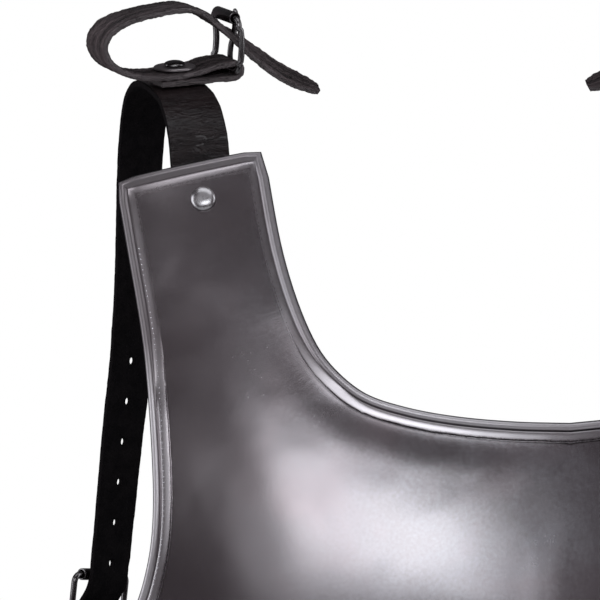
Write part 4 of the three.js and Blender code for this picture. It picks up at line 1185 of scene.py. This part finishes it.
def shoulder_stations():
    """From the rivet inside the tab, over the shoulder, through the buckle and on over the flank strap."""
    table = path_table(SHOULDER_PATH)
    for below, further in ((0, 0), (20, 1.2)):
        height = at_drop(RIVET_DROP + below)
        at, _ = behind_plate(angle_at(RIVET_OUT, height), height, UNDER_TAB + further)
        for name, value in zip(("x", "y", "z", "turn", "roll"), (*at, -17, 0)):
            table[name].insert(0, value)
    line = evenly(table, ["x", "y", "z"], SHOULDER_STEPS)
    ways = [width_at(turn, roll) for turn, roll in zip(line["turn"], line["roll"])]
    stations = [station(at, across) for at, across in zip(xyz(line), ways)]
    for along, out in THROUGH_BUCKLE:
        stations.append(station(in_place(side_buckle, 0, along, out), side_buckle["across"]))
    for i, share in OVER_FLANK_STRAP:
        stations.append(flank_station(i, 3 * LAYER + FOLD_BULGE, share * STRAP_WIDTH / 2))
    return stations


shoulder_line = shoulder_stations()


def hole_places():
    """Middles and directions of the free holes down the back."""
    places = []
    engaged = in_place(side_buckle, 0, *TONGUE_HOLE)
    for i in range(1, STRAP_HOLES + 1):
        z = engaged[2] + TONGUE_HOLE_LIFT + i * STRAP_HOLE_PITCH
        k = next(k for k in range(BACK_FROM, len(shoulder_line)) if shoulder_line[k]["at"][2] <= z)
        above, below = shoulder_line[k - 1], shoulder_line[k]
        share = (above["at"][2] - z) / (above["at"][2] - below["at"][2])
        tangent = unit(below["at"] - above["at"])
        at = above["at"] + (below["at"] - above["at"]) * share
        places.append((at, np.cross(tangent, below["across"])))
    return places


def punch_tree():
    """Geometry nodes that punch a round hole through a strap at every point of the punch line."""
    sockets = {"Geometry": "Geometry", "Strap": "Object", "Material": "Material"}
    sockets = {**sockets, "Hole Radius": 0.0016, "Depth": 0.008}
    tree, given, put = new_group("punch_holes", "GeometryNodeTree", sockets, {"Geometry": "Geometry"})
    values = {"Radius": given["Hole Radius"], "Depth": given["Depth"], "Vertices": 20}
    punch = add_node(tree, "GeometryNodeMeshCylinder", values)
    punches = set_on_points(tree, given["Geometry"], punch.outputs["Mesh"], given["Material"])
    strap = add_node(tree, "GeometryNodeObjectInfo", {"Object": given["Strap"]})
    punched = add_node(tree, "GeometryNodeMeshBoolean", operation="DIFFERENCE", solver="EXACT")
    tree.links.new(strap.outputs["Geometry"], punched.inputs["Mesh 1"])
    tree.links.new(punches, punched.inputs["Mesh 2"])
    tree.links.new(punched.outputs["Mesh"], put["Geometry"])
    return tree


def nearest_places(piece, points, places):
    """For each point of a piece, the strap place of the nearest of the given points."""
    tree = KDTree(len(points))
    for k, point in enumerate(points):
        tree.insert(point * MM, k)
    tree.balance()
    return np.array([places[tree.find(vertex.co)[1]] for vertex in piece.data.vertices])


punch_holes = punch_tree()
points, faces, grain, strap_places = strap_mesh(shoulder_line, STRAP_PITCH, rough=0.10, rough_scale=3.0)
hole_at, hole_out = (np.array(column) for column in zip(*hole_places()))
for side, flip in (("right", 1), ("left", -1)):
    turn = (flip, 1, 1)
    shown_faces = [face[::flip] for face in faces]
    strap = new_piece(f"over_shoulder_{side}", points * turn, shown_faces, strap_materials)
    strap.data.polygons.foreach_set("material_index", grain)
    punch_inputs = {"Strap": strap, "Hole Radius": STRAP_HOLE_RADIUS * MM, "Material": strap_flesh}
    strap.data = made_mesh("punch_line", hole_at * turn, [], hole_out * turn, punch_holes, punch_inputs)
    set_places(strap, nearest_places(strap, points * turn, strap_places))
    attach(strap, "root")
    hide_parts(f"shoulder_strap_{side}")


# Shoulder guard loops
#
# A small strap of thick rough leather stands on the top of each shoulder strap, held by a rivet through a
# washer. It is folded round its own buckle and comes back through it, to hold a shoulder guard.

LOOP_WIDTH = 20
LOOP_BUCKLE_WIDTH = 26.6
LOOP_TURN = 10
LOOP_BACK = 20
LOOP_SPAN = 70
UNDER_LAYER = GAP + LEATHER / 2 + 0.3
UPPER_LAYER = UNDER_LAYER + LEATHER + GAP
TOP_LAYER = UPPER_LAYER + LEATHER / 2 + GAP
LOOP_PATH = {
    "x": [-0.129, -0.243, -0.364, -0.457, -0.489, -0.446, -0.326, -0.143, 0.029, 0.121, 0.200, 0.297]
    + [0.379, 0.457, 0.571, 0.714, 0.935],
    "up": [0.066, 0.077, 0.116, 0.189, 0.280, 0.361, 0.420, 0.450, 0.459, 0.440, 0.391, 0.317, 0.251]
    + [0.186, 0.096, -0.008, -0.120],
    "twist": [0, 0, 0, 0, 0, 0, 0, 0, 0, 0, 3, 8, 15, 20, 25, 26, 24],
}
LOOP_TAPER = {"step": [29, 36, 39, 40], "share": [1, 0.7, 0.48, 0.3]}
LOOP_STEPS = 40
LOOP_FLAT = (-9.5, 0, 9, 17)
LOOP_BACK_DOWN = ((16, 2.7), (11, 1.6), (6, 0.5), (0, 0))
LOOP_BUCKLE_ASIDE = 23.5
LOOP_BUCKLE_LIFT = 3
LOOP_BUCKLE_LEAN = 0.02
LOOP_BUCKLE_BULGE = 1.3
LOOP_TONGUE = [(-2.6, -1.5), (-3, 0.5), (-2.1, 2.1), (0, 2.7), (4, 1.8), (9, 2.2), (14, 3.6)]
LOOP_TONGUE += [(22, 4.3), (24.5, 4)]


def loop_seat():
    """Where the loop stands on the strap, with the directions along the loop and out of the strap."""
    k = next(k for k, station in enumerate(shoulder_line) if station["at"][1] >= LOOP_BACK)
    tangent = unit(shoulder_line[k + 1]["at"] - shoulder_line[k - 1]["at"])
    out = np.cross(square_to(shoulder_line[k]["across"], tangent), tangent)
    across = square_to(width_at(LOOP_TURN), out)
    at = shoulder_line[k]["at"] + out * LEATHER / 2
    return {"at": at, "across": across, "along": np.cross(out, across), "out": out}


seat = loop_seat()
loop_bar = in_place(seat, LOOP_BUCKLE_ASIDE, 0, UNDER_LAYER + LOOP_BUCKLE_LIFT)
loop_buckle = {"at": loop_bar, "across": -seat["along"]}
loop_buckle["along"] = unit(seat["out"] + seat["across"] * LOOP_BUCKLE_LEAN)
loop_buckle["out"] = np.cross(loop_buckle["along"], loop_buckle["across"])
new_buckle("loop_buckle", "pauldron_buckle", loop_buckle, LOOP_BUCKLE_WIDTH, LOOP_TONGUE, LOOP_BUCKLE_BULGE)


def loop_stations():
    """Along the strap, round the buckle's bar, back to the rivet, round the ring and through the buckle."""
    across, half = seat["along"], LOOP_WIDTH / 2
    places = [in_place(seat, x, 0, UNDER_LAYER) for x in LOOP_FLAT]
    places += fold_round(loop_bar, seat["across"], seat["out"], (-90, -60, -30, 0, 30, 60, 90, 110))
    places += [in_place(seat, x, 0, UPPER_LAYER + lift) for x, lift in LOOP_BACK_DOWN]
    stations = [station(at, across, half) for at in places]
    table = {name: np.array(column) for name, column in LOOP_PATH.items()}
    table["x"], table["up"] = table["x"] * LOOP_SPAN, table["up"] * LOOP_SPAN
    line = evenly(table, ["x", "up"], LOOP_STEPS)
    for i, (x, up, twist) in enumerate(zip(line["x"], line["up"], line["twist"])):
        taper = np.interp(i, LOOP_TAPER["step"], LOOP_TAPER["share"])
        flat, leaning = on_circle(twist)
        wide = across * flat + seat["out"] * leaning
        stations.append(station(in_place(seat, x, 0, up), wide, half * taper))
    return stations


loop_suede = leather(
    "loop_suede",
    colours=((0.012, 0.008, 0.008, 1), (0.2, 0.155, 0.16, 1), (0.23, 0.2, 0.203, 1)),
    rough=(0.75, 1.0),
    scales=(1500.0, 420.0),
    heights=(0.0005, 0.0012),
    stretch=(0.14, 1, 1),
    specular=0.25,
    sheen=0.08,
)
points, faces, _, places = strap_mesh(
    loop_stations(), 0.8, rounding=0.7, rough=0.3, rough_scale=2.2, edge_wave=0.6, across_pitch=1.0
)
new_pair("guard_loop", points, faces, [loop_suede], ["pauldron_strap"], 60, places=places)


# Loop washers and rivets
#
# A flat steel washer lies on the loop inside the ring of leather, and a black domed rivet goes through it,
# the loop and the shoulder strap.

WASHER_RADIUS = 8.8
WASHER_THICKNESS = 1.2
WASHER_LIFT = 0.2
WASHER_BORE = 2.3
WASHER_EDGE = 0.35
LOOP_HEAD_RADIUS = 4.5
LOOP_HEAD_HEIGHT = 2

washer_low = TOP_LAYER + WASHER_LIFT
washer_top = washer_low + WASHER_THICKNESS
washer_profile = [
    (WASHER_BORE, washer_low),
    (WASHER_RADIUS - 0.3, washer_low),
    (WASHER_RADIUS, washer_low + WASHER_EDGE),
    (WASHER_RADIUS, washer_top - WASHER_EDGE),
    (WASHER_RADIUS - WASHER_EDGE, washer_top),
    (5.2, washer_top - 0.1),
    (WASHER_BORE, washer_top - 0.1),
]
washer_steel = steel(
    "washer_steel",
    colours=((0.4, 0.37, 0.375, 1), (0.6, 0.56, 0.565, 1)),
    rough=(0.35, 0.5),
    cloud_scale=300.0,
    scratch_scale=2400.0,
    relief=0.00004,
)
points, faces = ring_mesh(washer_profile, 48, seat["at"], seat["out"])
new_pair("loop_washer", points, faces, [washer_steel], ["pauldron_washer"])
loop_rivet_at, loop_rivet_depth = in_place(seat, 0, 0, washer_top), washer_top + LEATHER + GAP
points, faces = rivet_mesh(loop_rivet_at, seat["out"], loop_rivet_depth, LOOP_HEAD_RADIUS, LOOP_HEAD_HEIGHT)
new_pair("loop_rivet", points, faces, [black_steel], ["pauldron_rivet"])


# Studio
#
# A pale floor under the waist edge, soft lamps, a white background for the camera and a dim room for the
# reflections. The camera has the photograph's direction, distance and framing.

FLOOR_RADIUS = 1.2
FLOOR_BACK = 0.2
FLOOR_SIDES = 96
LOOKED_AT = np.array([-106, -48, -23.2])
LOOKED_AT_PIXEL = (262, 150)
AZIMUTH, ELEVATION = -15, 6
DISTANCE = 1300
PIXELS_PER_MM = 2.5
PICTURE_PIXELS = 600
SENSOR_WIDTH = 36
LAMP_DISTANCE = 1.6
LAMP_AIM = (0, -60, -230)
LAMPS = {
    "chest_softbox": {"turn": -18, "rise": 29, "width": 1.0, "height": 0.4, "watts": 2.3},
    "chest_softbox_edge": {"turn": -14, "rise": 27, "width": 1.4, "height": 0.58, "watts": 2.6},
    "chest_fill": {"turn": -44, "rise": 17, "width": 0.6, "height": 0.5, "watts": 0.55},
    "top_softbox": {"turn": -15, "rise": 82, "width": 1.5, "height": 1.1, "watts": 4.8},
    "right_softbox": {"turn": 75, "rise": 20, "width": 0.7, "height": 1.6, "watts": 6.0},
    "left_softbox": {"turn": -96, "rise": 10, "width": 0.9, "height": 1.6, "watts": 6.5},
}

floor_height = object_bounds()[0][2]
turns = [i * 2 * math.pi / FLOOR_SIDES for i in range(FLOOR_SIDES)]
ring = [(FLOOR_RADIUS * math.cos(t), FLOOR_RADIUS * math.sin(t) - FLOOR_BACK, floor_height) for t in turns]
floor_mesh = bpy.data.meshes.new("floor")
floor_mesh.from_pydata(ring, [], [list(range(FLOOR_SIDES))])
floor = new_object("floor", floor_mesh)
floor_paint, tree, shader = new_material("floor_paint")
set_inputs(tree, shader, {"Base Color": (0.82, 0.82, 0.82, 1), "Roughness": 0.9})
floor_mesh.materials.append(floor_paint)

scene = bpy.context.scene
scene.view_settings.view_transform = "Standard"
world = bpy.data.worlds.new("room")
world.use_nodes = True
scene.world = world
room = world.node_tree
room.nodes.clear()
seen = add_node(room, "ShaderNodeLightPath").outputs["Is Camera Ray"]
way = add_node(room, "ShaderNodeTexCoord").outputs["Generated"]
towards = add_node(room, "ShaderNodeSeparateXYZ", {0: way}).outputs
behind = ramp(room, towards["Y"], 0.0, 1.0, -0.25, 0.35)
level = ramp(room, towards["Z"], 0.0, 1.0, 0.05, 0.45)
shade = mix_colours(room, times(room, behind, level), (0.085, 0.073, 0.081, 1), (0.05, 0.048, 0.052, 1))
dim = add_node(room, "ShaderNodeBackground", {"Color": shade, "Strength": 1.0})
white = add_node(room, "ShaderNodeBackground", {"Color": (1, 1, 1, 1), "Strength": 1.0})
chosen = add_node(room, "ShaderNodeMixShader", {0: seen, 1: dim.outputs[0], 2: white.outputs[0]})
add_node(room, "ShaderNodeOutputWorld", {"Surface": chosen.outputs[0]})


def direction_at(turn, rise):
    """The direction from the breastplate to a place, from its turn and its rise in degrees."""
    (ahead, aside), (level, up) = on_circle(turn), on_circle(rise)
    return np.array([aside * level, -ahead * level, up])


def place_facing(data, at, direction):
    """An object for a lamp or a camera, at a place in metres, looking against a direction."""
    placed = new_object(data.name, data)
    placed.location = at
    placed.rotation_euler = direction.to_track_quat("Z", "Y").to_euler()
    return placed


for name, values in LAMPS.items():
    lamp = bpy.data.lights.new(name, "AREA")
    lamp.shape = "RECTANGLE"
    lamp.size, lamp.size_y = values["width"], values["height"]
    lamp.energy = values["watts"]
    lamp.color = (0.93, 0.96, 1.0)
    direction = Vector(direction_at(values["turn"], values["rise"]))
    place_facing(lamp, Vector(LAMP_AIM) * MM + direction * LAMP_DISTANCE, direction).visible_camera = False

back = direction_at(AZIMUTH, ELEVATION)
right = np.array([*on_circle(AZIMUTH), 0])
up = np.cross(back, right)
aside = (LOOKED_AT_PIXEL[0] - PICTURE_PIXELS / 2) / PIXELS_PER_MM
above = (PICTURE_PIXELS / 2 - LOOKED_AT_PIXEL[1]) / PIXELS_PER_MM
camera_data = bpy.data.cameras.new("photo_camera")
camera_data.sensor_width = SENSOR_WIDTH
camera_data.lens = PIXELS_PER_MM * DISTANCE * SENSOR_WIDTH / PICTURE_PIXELS
camera_data.clip_end = 20
position = LOOKED_AT + back * DISTANCE - right * aside - up * above
scene.camera = place_facing(camera_data, Vector(position * MM), Vector(back))
